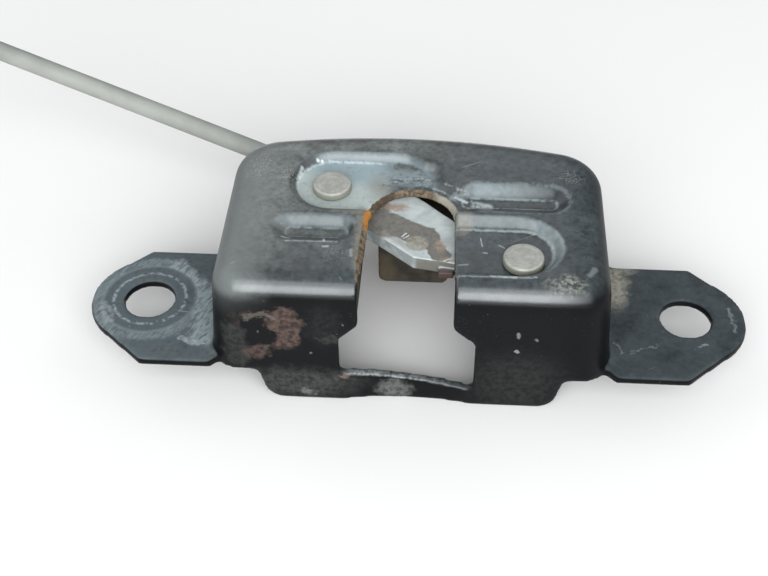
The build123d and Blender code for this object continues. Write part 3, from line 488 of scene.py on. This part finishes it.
def top_face_wear(skin, colour, blotch, fine, speck, slightly):
    """Rubbed primer, worn rims, film and specks of the top face."""
    on_top = skin.both(skin.axis(skin.place, (0, 0, 1), TOP - 3.2, TOP - 2.6),
                       skin.span(skin.up, 0.25, 0.5))
    ragged = skin.ragged(0.9, COARSE)
    thinly = skin.ragged(0.16, CLOSE)

    # Pale floor of the left pressing, bluer towards the back, its far wall pale partly from a painted
    # highlight, and its worn rims
    pad = skin.inside(slightly, CLAW_PAD, 0.2, 0.25)
    left_part = skin.axis(ragged, (-1, 0, 0), 3.0, 8.6)
    pale = skin.both(pad, left_part, skin.span(fine, 0.28, 0.5, 0.75, 1.0))
    shade = skin.mix(skin.axis(ragged, (0.35, 1, 0), 7.5, 11.5), PALE_PRIMER, BLUE_PRIMER_AND_HIGHLIGHT)
    colour = skin.mix(skin.both(on_top, pale, 0.92), colour, shade)
    # Far wall and the floor before it: rubbed primer and a painted highlight
    far_wall = skin.but(skin.inside(slightly, CLAW_PAD_RIM, -0.4, 0.5), pad)
    far_wall = skin.both(far_wall, skin.axis(skin.place, (0.25, 1, 0), 11.0, 16.5), 0.42)
    far_floor = skin.both(skin.stroke(ragged, (-7.0, 15.8), (0.5, 15.0), 2.4, 1.8),
                          skin.span(fine, 0.30, 0.60, 0.35, 1.0), 0.55)
    colour = skin.mix(skin.both(on_top, skin.either(far_wall, far_floor)), colour, BLUE_PRIMER_AND_HIGHLIGHT)
    rim = skin.both(skin.along(thinly, CLAW_PAD, 0.10, 0.25), skin.span(fine, 0.36, 0.60))
    colour = skin.mix(skin.both(on_top, left_part, rim, 0.55), colour, PAD_RIM)

    # Rubbed rims and floors of the other pressings, and their far slopes, pale from rubbing and from a
    # painted highlight
    beads = skin.either(skin.both(skin.along(thinly, REAR_BEAD, 0.12, 0.3), 0.55),
                        skin.both(skin.along(thinly, PAWL_PAD, 0.12, 0.3), 0.60),
                        skin.both(skin.along(thinly, FRONT_BEAD, 0.12, 0.25), 0.35),
                        skin.both(skin.along(slightly, REAR_BEAD_RIM, 0.3, 0.4), 0.25))
    beads = skin.both(on_top, beads, skin.span(fine, 0.36, 0.56, 0.15, 1.0))
    colour = skin.mix(beads, colour, BEAD_RIM)
    # Far slopes facing the front: partly rubbed primer, partly a painted highlight of the front light
    right_end = skin.both(skin.along(slightly, PAWL_PAD_END, 1.3, 0.6),
                          skin.axis(skin.place, (1, 0.2, 0), 17.0, 20.5))
    slope = skin.both(skin.along(slightly, PAWL_PAD_SLOPE, 1.0, 0.7),
                      skin.axis(skin.place, (0, 1, 0), -1.0, 2.0), 0.45)
    front_slope = skin.both(skin.along(slightly, FRONT_BEAD_SLOPE, 1.3, 0.7),
                            skin.axis(skin.place, (0, 1, 0), 0.4, 1.6), 0.55)
    rear_slope = skin.both(skin.along(slightly, REAR_BEAD_SLOPE, 1.5, 0.8),
                           skin.axis(skin.place, (0, 1, 0), 9.2, 10.4),
                           skin.axis(skin.place, (-1, 0, 0), -24.0, -12.0), 0.95)
    slopes = skin.either(right_end, slope, front_slope, rear_slope)
    slopes = skin.both(on_top, slopes, skin.span(blotch, 0.3, 0.6, 0.45, 0.70))
    colour = skin.mix(slopes, colour, RUBBED_SLOPE_AND_HIGHLIGHT)

    # Sunken ring behind the slot: rough scratches round it, a shadow in it
    behind = skin.axis(ragged, (0.25, 1, 0), 9.5, 12.5)
    outer = skin.both(skin.along(slightly, OUTER_RING, 0.14, 0.35), 0.8)
    inner = skin.both(skin.along(slightly, INNER_RING, 0.10, 0.3), 0.5)
    scraped = skin.both(skin.either(outer, inner), behind, skin.span(blotch, 0.40, 0.56),
                        skin.span(fine, 0.36, 0.56, 0.1, 1.0))
    colour = skin.mix(skin.both(on_top, scraped, 0.85), colour, RING_SCRAPE)
    shadow = skin.both(skin.along(slightly, SHADED_RING, 0.5, 0.6), behind)
    shadow = skin.both(on_top, shadow, skin.span(fine, 0.60, 0.38), 0.7)
    colour = skin.mix(shadow, colour, RING_SHADOW)

    # Single marks: bright streaks, ticks and rubbed spots
    bright = skin.strokes(thinly, TOP_MARKS)
    bright = skin.both(on_top, bright, skin.span(fine, 0.34, 0.50, 0.3, 1.0))
    colour = skin.mix(bright, colour, WHITE_SCRATCH)
    front_flecks = skin.patch(skin.place, (-12.6, -6.6, TOP), (2.6, 2.2, 3), 0.6)
    cluster = skin.either(skin.patch(skin.place, (25.4, 14.4, TOP), (2.0, 1.8, 3), 0.5),
                          skin.patch(skin.place, (-27.0, 15.0, TOP), (3.0, 3.6, 3), 0.6),
                          skin.both(front_flecks, 0.4),
                          skin.patch(skin.place, (-21.8, 12.6, TOP), (1.6, 2.2, 3), 0.6))
    flecks = skin.both(cluster, skin.span(speck, 0.53, 0.60))
    colour = skin.mix(skin.both(on_top, flecks, 0.3), colour, FLECK)

    # Tan film between the slot and the left pressings, and over the ridge on the right
    film = skin.either(skin.both(skin.stroke(ragged, (-9.0, 6.0), (-8.9, -9.0), 0.6, 1.2), 0.8),
                       skin.both(skin.patch(ragged, (-6.8, 12.2, TOP), (2.0, 3.6, 4), 0.7), 0.75),
                       skin.both(skin.stroke(ragged, (-10.0, 4.2), (-13.5, 4.0), 0.6, 0.6), 0.5),
                       skin.both(skin.patch(ragged, (7.6, 2.8, TOP), (1.6, 2.4, 4), 0.5), 0.7))
    film = skin.both(on_top, film, skin.span(fine, 0.3, 0.55, 0.3, 0.75))
    return skin.mix(film, colour, TAN_FILM)


def slot_edge_wear(skin, colour, fine, slightly):
    """Bare and rusty cut edge round the slot, and the share it takes up."""
    arc = skin.both(skin.axis(slightly, (0, 1, 0), 4.2, 5.4),
                    skin.span(skin.reach(slightly, SLOT_END, SLOT_END), SLOT_RADIUS + 0.95,
                              SLOT_RADIUS + 0.70))
    cut_depth = skin.axis(skin.place, (0, 0, 1), TOP - 3.4, TOP - 3.0)
    flank = skin.span(skin.reach(slightly, (-7.6, 5.2), (-8.15, -9.0)), 1.15, 0.85)
    flank = skin.both(flank, cut_depth)
    low_flank = skin.both(skin.span(skin.reach(slightly, (-8.15, -9.0), (-8.5, -11.5)), 0.75, 0.5),
                          skin.axis(skin.place, (0, 0, 1), TOP - 4.4, TOP - 3.6))
    right = skin.span(skin.reach(slightly, (6.1, 5.2), (6.2, -9.5)), 0.30, 0.15)
    right = skin.both(right, cut_depth, 0.35)
    bare = skin.both(skin.either(arc, flank, low_flank, right),
                     skin.axis(skin.place, (0, 0, 1), TOP - 4.6, TOP - 4.2))
    streaks = skin.noise(0.8, detail=4.0, rough=0.7, stretch=(1, 1, 0.6), shift=5.0)
    tone = skin.mix(skin.span(streaks, 0.36, 0.62), EDGE_BROWN, EDGE_TAN)
    dark_left = skin.both(skin.patch(skin.place, (-6.2, 9.6, TOP - 2), (3.6, 2.6, 4), 0.4), 0.75)
    tone = skin.mix(dark_left, tone, EDGE_BROWN)
    orange = skin.patch(slightly, (-8.0, 3.0, TOP - 1), (0.95, 2.9, 4), 0.4)
    tone = skin.mix(skin.both(orange, skin.span(fine, 0.30, 0.46, 0.30, 0.85)), tone, RUST_ORANGE)
    pale = skin.both(skin.axis(skin.place, (1, 0.2, 0), 4.0, 6.4), 0.7)
    tone = skin.mix(pale, tone, EDGE_PALE)
    # Cut faces darker towards the bottom of the slot
    low_edge = skin.both(skin.axis(skin.place, (0, 0, -1), 3.0 - TOP, 3.7 - TOP),
                      skin.span(skin.up, 0.5, 0.1))
    tone = skin.mix(skin.both(low_edge, 0.8), tone, DARK_LOW_EDGE)
    return skin.mix(bare, colour, tone), bare


def front_wall_wear(skin, colour, fine, slightly):
    """Brown rust, black chips and grey scuffs of the front wall, and the rusty share."""
    ragged = skin.ragged(2.1, COARSE)
    front = skin.both(skin.axis(skin.place, (0, -1, 0), -FRONT - 2.9, -FRONT - 1.6),
                      skin.span(skin.ahead, 0.35, 0.75))
    body = skin.strokes(ragged, WALL_RUST, WALL_PLANE)
    hole = skin.strokes(ragged, RUST_HOLE, WALL_PLANE)
    rust = skin.both(skin.but(body, hole), front)
    mottled = skin.mix(skin.span(fine, 0.38, 0.62), RUST_BROWN, RUST_PINK)
    mottled = skin.mix(skin.strokes(ragged, RUST_END, WALL_PLANE), mottled, RUST_TIP)
    colour = skin.mix(rust, colour, mottled)
    corner = skin.both(front, skin.patch(ragged, (-11.0, FRONT, -0.8), (0.9, 4, 0.6), 0.5))
    colour = skin.mix(skin.both(corner, 0.9), colour, CORNER_RUST)

    # Grey scuffs: tongue, strip, a smear beside the rust, the left corner
    low = skin.axis(skin.place, (0, -1, 0), -FRONT - 4.4, -FRONT - 3.0)
    scuffs = skin.either(
        skin.both(skin.patch(ragged, (-18.6, FRONT, -2.6), (9.0, 4, 3.2), 0.6), 0.22),
        skin.both(skin.patch(ragged, (-17.4, FRONT, -4.6), (1.5, 4, 0.8), 0.5), 0.6),
        skin.both(skin.patch(ragged, (-14.0, FRONT, 11.0), (2.4, 4, 3.6), 0.7), 0.06),
        skin.strokes(ragged, WALL_SMEARS, WALL_PLANE),
        skin.both(skin.patch(ragged, (-2.8, FRONT + 1.2, -4.2), (2.7, 5, 1.9), 0.5), 0.6),
        skin.both(skin.patch(ragged, (17.0, FRONT, -1.0), (7.0, 4, 6.2), 0.7), 0.09))
    scuffs = skin.both(low, scuffs, skin.span(fine, 0.34, 0.6, 0.35, 1.0))
    colour = skin.mix(scuffs, colour, WALL_SCUFF)
    ledge = skin.both(low, skin.patch(skin.place, (-0.8, FRONT + 2, -1.4), (11.4, 6, 2.3), 0.1),
                      skin.span(skin.up, 0.15, 0.6), skin.span(fine, 0.38, 0.60, 0.12, 1.0),
                      skin.axis(ragged, (-1, 0, 0), -9.0, 2.0), 0.9)
    colour = skin.mix(ledge, colour, LEDGE_SCUFF)
    chips = skin.strokes(slightly, WALL_CHIPS, WALL_PLANE)
    colour = skin.mix(skin.both(front, chips, 0.6), colour, WALL_CHIP)
    return colour, skin.either(rust, corner)


def ear_wear(skin, colour, cloud, fine, slightly):
    """Grey bloom on the ears, the witness ring of a washer, greasy dirt and scratches."""
    ragged = skin.ragged(1.6, COARSE)
    flat = skin.both(skin.span(skin.up, 0.3, 0.9), skin.axis(skin.place, (0, 0, -1), -3.2, -2.4))
    left = skin.both(flat, skin.axis(skin.place, (-1, 0, 0), 32.5, 34.5))
    right = skin.both(flat, skin.axis(skin.place, (1, 0, 0), 31.5, 33.5))
    bloom = skin.both(left, skin.span(cloud, 0.30, 0.64, 0.45, 1.0),
                      skin.span(fine, 0.25, 0.6, 0.6, 1.0))
    colour = skin.mix(bloom, colour, EAR_DUST)
    dusty = skin.both(right, skin.span(cloud, 0.3, 0.64, 0.2, 0.7))
    colour = skin.mix(dusty, colour, RIGHT_EAR_DUST)
    hole = (LEFT_HOLE, LEFT_HOLE)
    scuffed = skin.either(skin.strokes(ragged, EAR_SCUFFS),
                          skin.both(skin.along(ragged, (*hole, 9.1), 0.6, 1.2), 0.45))
    grain = skin.noise(0.7, detail=3.0, rough=0.7, stretch=(0.35, 1.5, 1), turn=62, shift=2.5)
    scuffed = skin.but(skin.both(left, scuffed, skin.span(grain, 0.34, 0.60, 0.15, 1.0)),
                       skin.span(skin.reach(slightly, *hole), 8.3, 7.9, 0.0, 0.9))
    colour = skin.mix(scuffed, colour, EAR_SCUFF)
    ring = skin.either(skin.both(skin.along(slightly, (*hole, 6.2), 0.22, 0.3),
                                 skin.span(fine, 0.42, 0.56)),
                       skin.both(skin.along(slightly, (*hole, 8.1), 0.15, 0.5), 0.35))
    colour = skin.mix(skin.both(left, ring, 0.8), colour, EAR_SCUFF)
    worn = skin.strokes(ragged, EAR_MARKS)
    worn = skin.both(worn, skin.span(fine, 0.36, 0.55, 0.2, 1.0))
    colour = skin.mix(skin.both(flat, worn, 0.8), colour, EAR_SCRATCH)
    grease = skin.either(skin.patch(ragged, (34.2, 7.2, 1.6), (2.3, 5.2, 4.0), 0.45),
                         skin.both(skin.patch(ragged, (35.8, 11.2, 1.6), (2.6, 1.2, 3), 0.5), 0.7))
    grease = skin.both(grease, skin.span(fine, 0.32, 0.6, 0.35, 1.0))
    return skin.mix(skin.both(grease, 0.75), colour, PALE_GREASE)


def worn_black_paint():
    """Glossy black paint, dusty on top, rubbed and rusted in places."""
    skin = Finish("worn_black_paint")
    cloud = skin.noise(7.0, detail=6.0, rough=0.6)
    blotch = skin.noise(2.4, detail=6.0, rough=0.65, shift=8.2)
    fine = skin.noise(0.9, detail=5.0, rough=0.65, shift=3.1)
    speck = skin.noise(0.35, detail=2.0, rough=0.5, shift=9.4)
    slightly = skin.ragged(0.35, CLOSE)

    # Dust film on what faces up, paler towards the back and left as a painted reflection of a bright
    # back horizon
    film = skin.both(skin.span(skin.up, 0.45, 1.0), skin.span(cloud, 0.30, 0.68, 0.55, 1.0))
    film = skin.both(film, skin.span(blotch, 0.30, 0.64, 0.60, 1.0))
    film = skin.both(film, skin.span(fine, 0.28, 0.62, 0.50, 1.0))
    back_left_sheen = skin.axis(skin.ragged(2.5, COARSE), (-0.75, 0.65, 0), -2.0, 26.0)
    colour = skin.mix(film, BLACK_PAINT, skin.mix(back_left_sheen, PAINT_DUST, PALE_DUST_AND_SHEEN))
    # Left part of the top and its rounding paler: dust and a painted reflection
    left_dust_and_sheen = skin.both(skin.axis(skin.ragged(2.5, COARSE), (-1, 0, 0), 21.0, 29.0),
                          skin.axis(skin.place, (0, 0, 1), TOP - 9, TOP - 1),
                          skin.span(skin.up, -0.2, 0.5))
    colour = skin.mix(skin.both(left_dust_and_sheen, 0.8), colour, SIDE_DUST_AND_SHEEN)

    colour = ear_wear(skin, colour, cloud, fine, slightly)
    colour = top_face_wear(skin, colour, blotch, fine, speck, slightly)
    colour, rust = front_wall_wear(skin, colour, fine, slightly)

    # Beige dirt by the front right corner
    dirt = skin.patch(skin.ragged(1.4, COARSE), (23.6, -11.4, TOP - 0.4), (2.8, 1.5, 2.4), 0.6)
    dirt = skin.both(dirt, skin.span(skin.noise(0.7, detail=4.0, rough=0.6, shift=6.6), 0.36, 0.66))
    colour = skin.mix(skin.both(dirt, 0.75), colour, BEIGE_DIRT)
    colour, bare = slot_edge_wear(skin, colour, fine, slightly)

    # White specks and fine scratches all over
    specks = skin.both(skin.span(speck, 0.70, 0.76), skin.span(cloud, 0.46, 0.66),
                       skin.span(skin.up, -0.2, 0.8, 0.35, 1.0))
    colour = skin.mix(skin.both(specks, 0.5), colour, WHITE_SPECK)
    first = skin.noise(1.0, detail=3.0, rough=0.7, stretch=(0.06, 1.6, 1), turn=28, shift=2.0)
    second = skin.noise(1.0, detail=3.0, rough=0.7, stretch=(0.05, 2.0, 1), turn=-52, shift=6.0)
    scratches = skin.either(skin.span(first, 0.69, 0.76), skin.span(second, 0.70, 0.77))
    scratches = skin.both(scratches, skin.span(skin.up, 0.6, 0.95), 0.35)
    colour = skin.mix(scratches, colour, FINE_SCRATCH)

    # Gloss, weaker on the front wall, low down, on the left and at the front bend's ends
    dull = skin.either(rust, bare)
    across = skin.vector("DOT_PRODUCT", skin.place, (1, 0, 0))
    level = skin.vector("DOT_PRODUCT", skin.place, (0, 0, 1))
    gloss = skin.both(skin.span(skin.up, 0.26, 0.50, 0.03, 1.0),
                      skin.axis(skin.place, (-1, 0, 0), -29.5, -20.0),
                      skin.axis(skin.place, (1, 0, 0), -31.5, -25.0),
                      skin.span(cloud, 0.3, 0.65, 1.0, 0.8),
                      skin.span(across, -15.0, 15.0, 0.8, 1.0),
                      skin.span(level, 0.0, 5.0, 0.35, 1.0))
    skin.coat(skin.but(gloss, dull), roughness=0.26, index=1.85)
    skin.shader.inputs["Specular IOR Level"].default_value = PAINT_SPECULAR
    skin.bump(skin.sum("ADD", fine, skin.both(speck, 0.5)), strength=0.28, depth=0.10)
    return skin.finish(colour, skin.span(dull, 0.0, 1.0, 0.38, 0.7))


# Zinc-grey claw and its soiling
ZINC_DARK = (0.36, 0.385, 0.38)
ZINC_PALE = (0.50, 0.53, 0.52)
WIPED_DARK = (0.105, 0.095, 0.082)
WIPED_PALE = (0.165, 0.152, 0.132)
BEIGE_DARK = (0.20, 0.18, 0.145)
BEIGE_PALE = (0.34, 0.325, 0.27)
PINK_STAIN = (0.33, 0.235, 0.185)
HUB_SOIL = (0.13, 0.12, 0.105)
CLAW_TICK = (0.60, 0.62, 0.60)
CLAW_SPOT = (0.16, 0.14, 0.11)
SIDE_SOIL = (0.13, 0.135, 0.125)
END_SOIL = (0.125, 0.115, 0.098)
NOTCH_SHADE = (0.05, 0.05, 0.045)
MOUTH_EDGE = (0.56, 0.63, 0.64)
LUG_RUST = (0.062, 0.032, 0.024)


def zinc_claw():
    """Zinc-grey steel of the claw with a brown wiped band, a beige spot and a rusty lug."""
    skin = Finish("zinc_claw", metallic=0.15)
    cloud = skin.noise(2.6, detail=5.0, rough=0.6)
    fine = skin.noise(0.6, detail=5.0, rough=0.65, shift=4.0)
    edge = skin.ragged(0.7, COARSE)
    close = skin.ragged(0.25, CLOSE)
    flat = skin.axis(skin.place, (0, 0, 1), CLAW_TOP - 0.45, CLAW_TOP - 0.2)
    colour = skin.blend(cloud, ZINC_DARK, ZINC_PALE)

    band = skin.span(skin.reach(edge, (-4.9, 5.6), (1.4, 2.2)), 2.7, 2.3)
    left = skin.both(skin.axis(edge, (-1, -0.15, 0), 3.0, 4.2), skin.axis(edge, (0, 1, 0), 1.5, 2.5))
    tail = skin.span(skin.reach(edge, (1.4, 2.2), (4.4, -2.4)), 1.7, 1.4)
    brown = skin.either(band, left, tail)
    brown_tone = skin.mix(skin.span(fine, 0.32, 0.62), WIPED_DARK, WIPED_PALE)
    colour = skin.mix(skin.both(flat, brown, 0.95), colour, brown_tone)
    beige_tail = skin.span(skin.reach(edge, (-5.5, 3.0), (-1.0, -0.6)), 0.8, 0.3)
    beige = skin.either(skin.span(skin.reach(edge, (-0.1, 0.8), (0.3, 0.5)), 2.0, 1.4),
                        skin.both(beige_tail, 0.5))
    beige_tone = skin.mix(skin.span(fine, 0.32, 0.66), BEIGE_DARK, BEIGE_PALE)
    colour = skin.mix(skin.both(flat, beige, 0.85), colour, beige_tone)
    pink = skin.either(skin.patch(edge, (-4.0, 9.6, CLAW_TOP), (2.4, 0.9, 2), 0.5),
                       skin.both(skin.patch(edge, (3.9, 0.2, CLAW_TOP), (0.9, 1.6, 2), 0.5), 0.8),
                       skin.both(skin.patch(edge, (5.4, -3.0, CLAW_TOP), (1.4, 0.5, 2), 0.5), 0.7))
    colour = skin.mix(skin.both(flat, pink, skin.span(fine, 0.34, 0.56)), colour, PINK_STAIN)
    hub = skin.both(flat, skin.axis(edge, (-1, 0, 0), 7.0, 9.5))
    colour = skin.mix(skin.both(hub, 0.7), colour, HUB_SOIL)

    ticks = skin.either(skin.stroke(close, (-2.5, 2.1), (-1.7, 3.1), 0.16, 0.08),
                        skin.stroke(close, (-2.1, 1.8), (-1.3, 2.6), 0.12, 0.08),
                        skin.both(skin.stroke(close, (4.6, -3.3), (6.2, -2.6), 0.12, 0.12), 0.8))
    colour = skin.mix(skin.both(flat, ticks, 0.9), colour, CLAW_TICK)
    spots = skin.both(skin.span(skin.noise(0.5, detail=3.0, rough=0.6, shift=8.0), 0.64, 0.72), 0.5)
    colour = skin.mix(spots, colour, CLAW_SPOT)

    # Stamped edges: bluish and bright along the mouth, brown towards the lug
    side = skin.span(skin.up, 0.6, 0.2)
    along_mouth = skin.axis(skin.place, (-1, 0, 0), -0.6, 0.6)
    colour = skin.mix(skin.both(side, skin.span(cloud, 0.32, 0.54), 0.8), colour, SIDE_SOIL)
    end = skin.both(side, skin.axis(skin.place, (1, 0, 0), -0.4, 0.4),
                    skin.axis(skin.place, (0, -1, 0), 1.4, 2.0))
    colour = skin.mix(skin.both(end, 0.85), colour, END_SOIL)
    notch = skin.both(side, skin.patch(skin.place, (-6.9, -1.1, CLAW_TOP - 1.7), (1.2, 1.4, 1.3), 0.5))
    colour = skin.mix(skin.both(notch, 0.8), colour, NOTCH_SHADE)
    colour = skin.mix(skin.both(side, along_mouth, 0.2), colour, MOUTH_EDGE)
    lug = skin.both(skin.patch(skin.place, (5.1, -4.6, CLAW_TOP - 2.0), (1.7, 1.5, 1.5), 0.2),
                    skin.axis(skin.place, (0, 0, -1), 0.9 - CLAW_TOP, 1.4 - CLAW_TOP))
    colour = skin.mix(skin.both(lug, 0.95), colour, LUG_RUST)
    skin.bump(fine, strength=0.2, depth=0.06)
    return skin.finish(colour, skin.rough(fine, 0.42, 0.62))


# Browned plate, rivets, zinc plate, spring wire, plastic bush and rod coating
BROWNED_DARK = (0.026, 0.021, 0.016)
BROWNED_PALE = (0.070, 0.056, 0.040)
BROWNED_RUST = (0.14, 0.105, 0.07)
BROWNED_TAN = (0.12, 0.095, 0.055)
RIVET_DARK = (0.30, 0.295, 0.26)
RIVET_PALE = (0.40, 0.395, 0.36)
RIVET_BRIGHT = (0.50, 0.50, 0.46)
RIVET_SOIL = (0.17, 0.15, 0.115)
RIVET_SIDE = (0.21, 0.20, 0.15)
RIVET_STRUCK = (0.20, 0.19, 0.165)
STRUCK_RADII = (1.9, 2.7)
PLATE_DARK = (0.36, 0.35, 0.31)
PLATE_PALE = (0.50, 0.49, 0.45)
PLATE_SOIL = (0.20, 0.16, 0.11)
WIRE_DARK = (0.12, 0.12, 0.125)
WIRE_PALE = (0.24, 0.235, 0.23)
PLASTIC_DARK = (0.030, 0.030, 0.031)
PLASTIC_PALE = (0.052, 0.052, 0.052)
ROD_DARK = (0.22, 0.222, 0.200)
ROD_PALE = (0.285, 0.287, 0.260)
ROD_SOIL = (0.22, 0.21, 0.17)


def browned_steel():
    """Dark browned steel of the base plate and its stop tab."""
    skin = Finish("browned_steel", metallic=0.3)
    cloud = skin.noise(2.6, detail=5.0, rough=0.6)
    fine = skin.noise(0.5, detail=4.0, rough=0.6, shift=7.0)
    colour = skin.blend(cloud, BROWNED_DARK, BROWNED_PALE)
    colour = skin.mix(skin.both(skin.span(fine, 0.58, 0.72), 0.5), colour, BROWNED_RUST)
    left = skin.both(skin.patch(skin.ragged(0.8, COARSE), (-5.4, 7.8, 3.0), (1.6, 3, 3.4), 0.5), 0.6)
    colour = skin.mix(left, colour, BROWNED_TAN)
    skin.bump(fine, strength=0.25, depth=0.08)
    return skin.finish(colour, skin.rough(fine, 0.45, 0.65))


def rivet_steel():
    """Dull, warm grey steel of the riveted pins, struck in rings."""
    skin = Finish("rivet_steel", metallic=0.25)
    cloud = skin.noise(1.6, detail=5.0, rough=0.6)
    fine = skin.noise(0.35, detail=4.0, rough=0.6, shift=1.0)
    brushed = skin.noise(0.5, detail=4.0, rough=0.7, stretch=(0.25, 1.6, 1), turn=8, shift=4.0)
    colour = skin.blend(cloud, RIVET_DARK, RIVET_PALE)
    colour = skin.mix(skin.both(skin.span(brushed, 0.54, 0.72), 0.5), colour, RIVET_BRIGHT)
    colour = skin.mix(skin.both(skin.span(fine, 0.6, 0.75), 0.5), colour, RIVET_SOIL)
    side = skin.both(skin.span(skin.up, 0.80, 0.3), 0.75)
    colour = skin.mix(side, colour, RIVET_SIDE)
    centres = [tuple((sum(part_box(node), Vector()) / 2 / MM).xy) for node in ("claw_pin", "pawl_pin")]
    struck = skin.either(*[skin.along(skin.place, (centre, centre, radius), 0.08, 0.10)
                           for centre in centres for radius in STRUCK_RADII])
    colour = skin.mix(skin.both(struck, 0.25), colour, RIVET_STRUCK)
    skin.bump(skin.sum("SUBTRACT", fine, skin.both(struck, 0.35)), strength=0.3, depth=0.08)
    return skin.finish(colour, skin.rough(fine, 0.45, 0.65))


def plated_steel():
    """Dull zinc plate of the inner parts."""
    skin = Finish("plated_steel", metallic=0.7)
    cloud = skin.noise(3.0, detail=5.0, rough=0.6)
    fine = skin.noise(0.4, detail=4.0, rough=0.6, shift=2.0)
    colour = skin.blend(cloud, PLATE_DARK, PLATE_PALE)
    colour = skin.mix(skin.both(skin.span(fine, 0.58, 0.72), 0.4), colour, PLATE_SOIL)
    skin.bump(fine, strength=0.2, depth=0.06)
    return skin.finish(colour, skin.rough(fine, 0.35, 0.52))


def spring_wire():
    """Oiled dark spring steel."""
    skin = Finish("spring_wire", metallic=0.8)
    fine = skin.noise(0.5, detail=4.0, rough=0.6)
    colour = skin.blend(fine, WIRE_DARK, WIRE_PALE)
    skin.bump(fine, strength=0.15, depth=0.04)
    return skin.finish(colour, skin.rough(fine, 0.28, 0.42))


def bush_plastic():
    """Matt black moulded plastic."""
    skin = Finish("bush_plastic")
    fine = skin.noise(0.4, detail=3.0, rough=0.5)
    colour = skin.blend(fine, PLASTIC_DARK, PLASTIC_PALE)
    skin.bump(fine, strength=0.15, depth=0.04)
    return skin.finish(colour, skin.rough(fine, 0.45, 0.6))


def rod_coating():
    """Matt grey-olive coating of the release rod, with faint soiling."""
    skin = Finish("rod_coating")
    cloud = skin.noise(9.0, detail=4.0, rough=0.55)
    fine = skin.noise(0.5, detail=4.0, rough=0.6, shift=3.0)
    colour = skin.blend(cloud, ROD_DARK, ROD_PALE)
    colour = skin.mix(skin.both(skin.span(fine, 0.62, 0.78), 0.4), colour, ROD_SOIL)
    skin.bump(fine, strength=0.2, depth=0.05)
    return skin.finish(colour, skin.rough(fine, 0.55, 0.72))


# Pieces
def softened(node, name, edge, rounds, finish, body):
    """Piece with the rounded edges of real sheet, standing for its CAD node."""
    mesh = nodes[node].data.copy()
    mesh.name = name
    form = bmesh.new()
    form.from_mesh(mesh)
    bmesh.ops.remove_doubles(form, verts=form.verts, dist=WELD * MM)
    form.to_mesh(mesh)
    form.free()
    piece = bpy.data.objects.new(name, mesh)
    scene.collection.objects.link(piece)
    even = piece.modifiers.new("even_skin", "REMESH")
    even.mode = "VOXEL"
    even.voxel_size = edge * MM
    even.use_smooth_shade = True
    seen = piece.evaluated_get(bpy.context.evaluated_depsgraph_get())
    skinned = bpy.data.meshes.new_from_object(seen)
    piece.modifiers.clear()
    piece.data = skinned
    form = bmesh.new()
    form.from_mesh(skinned)
    for _ in range(rounds):
        bmesh.ops.smooth_vert(form, verts=form.verts, factor=SMOOTHING,
                              use_axis_x=True, use_axis_y=True, use_axis_z=True)
    form.to_mesh(skinned)
    form.free()
    skinned.materials.clear()
    skinned.materials.append(finish)
    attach(piece, body)
    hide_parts(node)


def dress(node, finish):
    """Give a carried-over CAD node its finish."""
    mesh = nodes[node].data
    mesh.materials.clear()
    mesh.materials.append(finish)
    mesh.polygons.foreach_set("material_index", [0] * len(mesh.polygons))


scene.view_settings.view_transform = "Standard"
add_camera()
add_floor()
add_world()
for softbox in SOFTBOXES:
    add_softbox(*softbox)

black = worn_black_paint()
claw_zinc = zinc_claw()
brown = browned_steel()
rivet = rivet_steel()
plate = plated_steel()
wire = spring_wire()
plastic = bush_plastic()
coating = rod_coating()

softened("housing", "housing_pressing", HOUSING_SKIN, HOUSING_ROUNDS, black, "frame")
softened("claw", "claw_plate", CLAW_SKIN, CLAW_ROUNDS, claw_zinc, "claw_body")
softened("base_plate", "base_plate_pressing", PLATE_SKIN, PLATE_ROUNDS, brown, "frame")
for node in ("claw_pin", "pawl_pin"):
    softened(node, node + "_riveted", PIN_SKIN, PIN_ROUNDS, rivet, "frame")

for node in ("pawl_washer", "lever_spacer", "pawl_spacer", "release_lever", "claw_stud", "pawl_stud"):
    dress(node, plate)
for node in ("retaining_clip", "claw_spring", "pawl_spring"):
    dress(node, wire)
dress("pawl", claw_zinc)
dress("rod_bush", plastic)
dress("release_rod", coating)
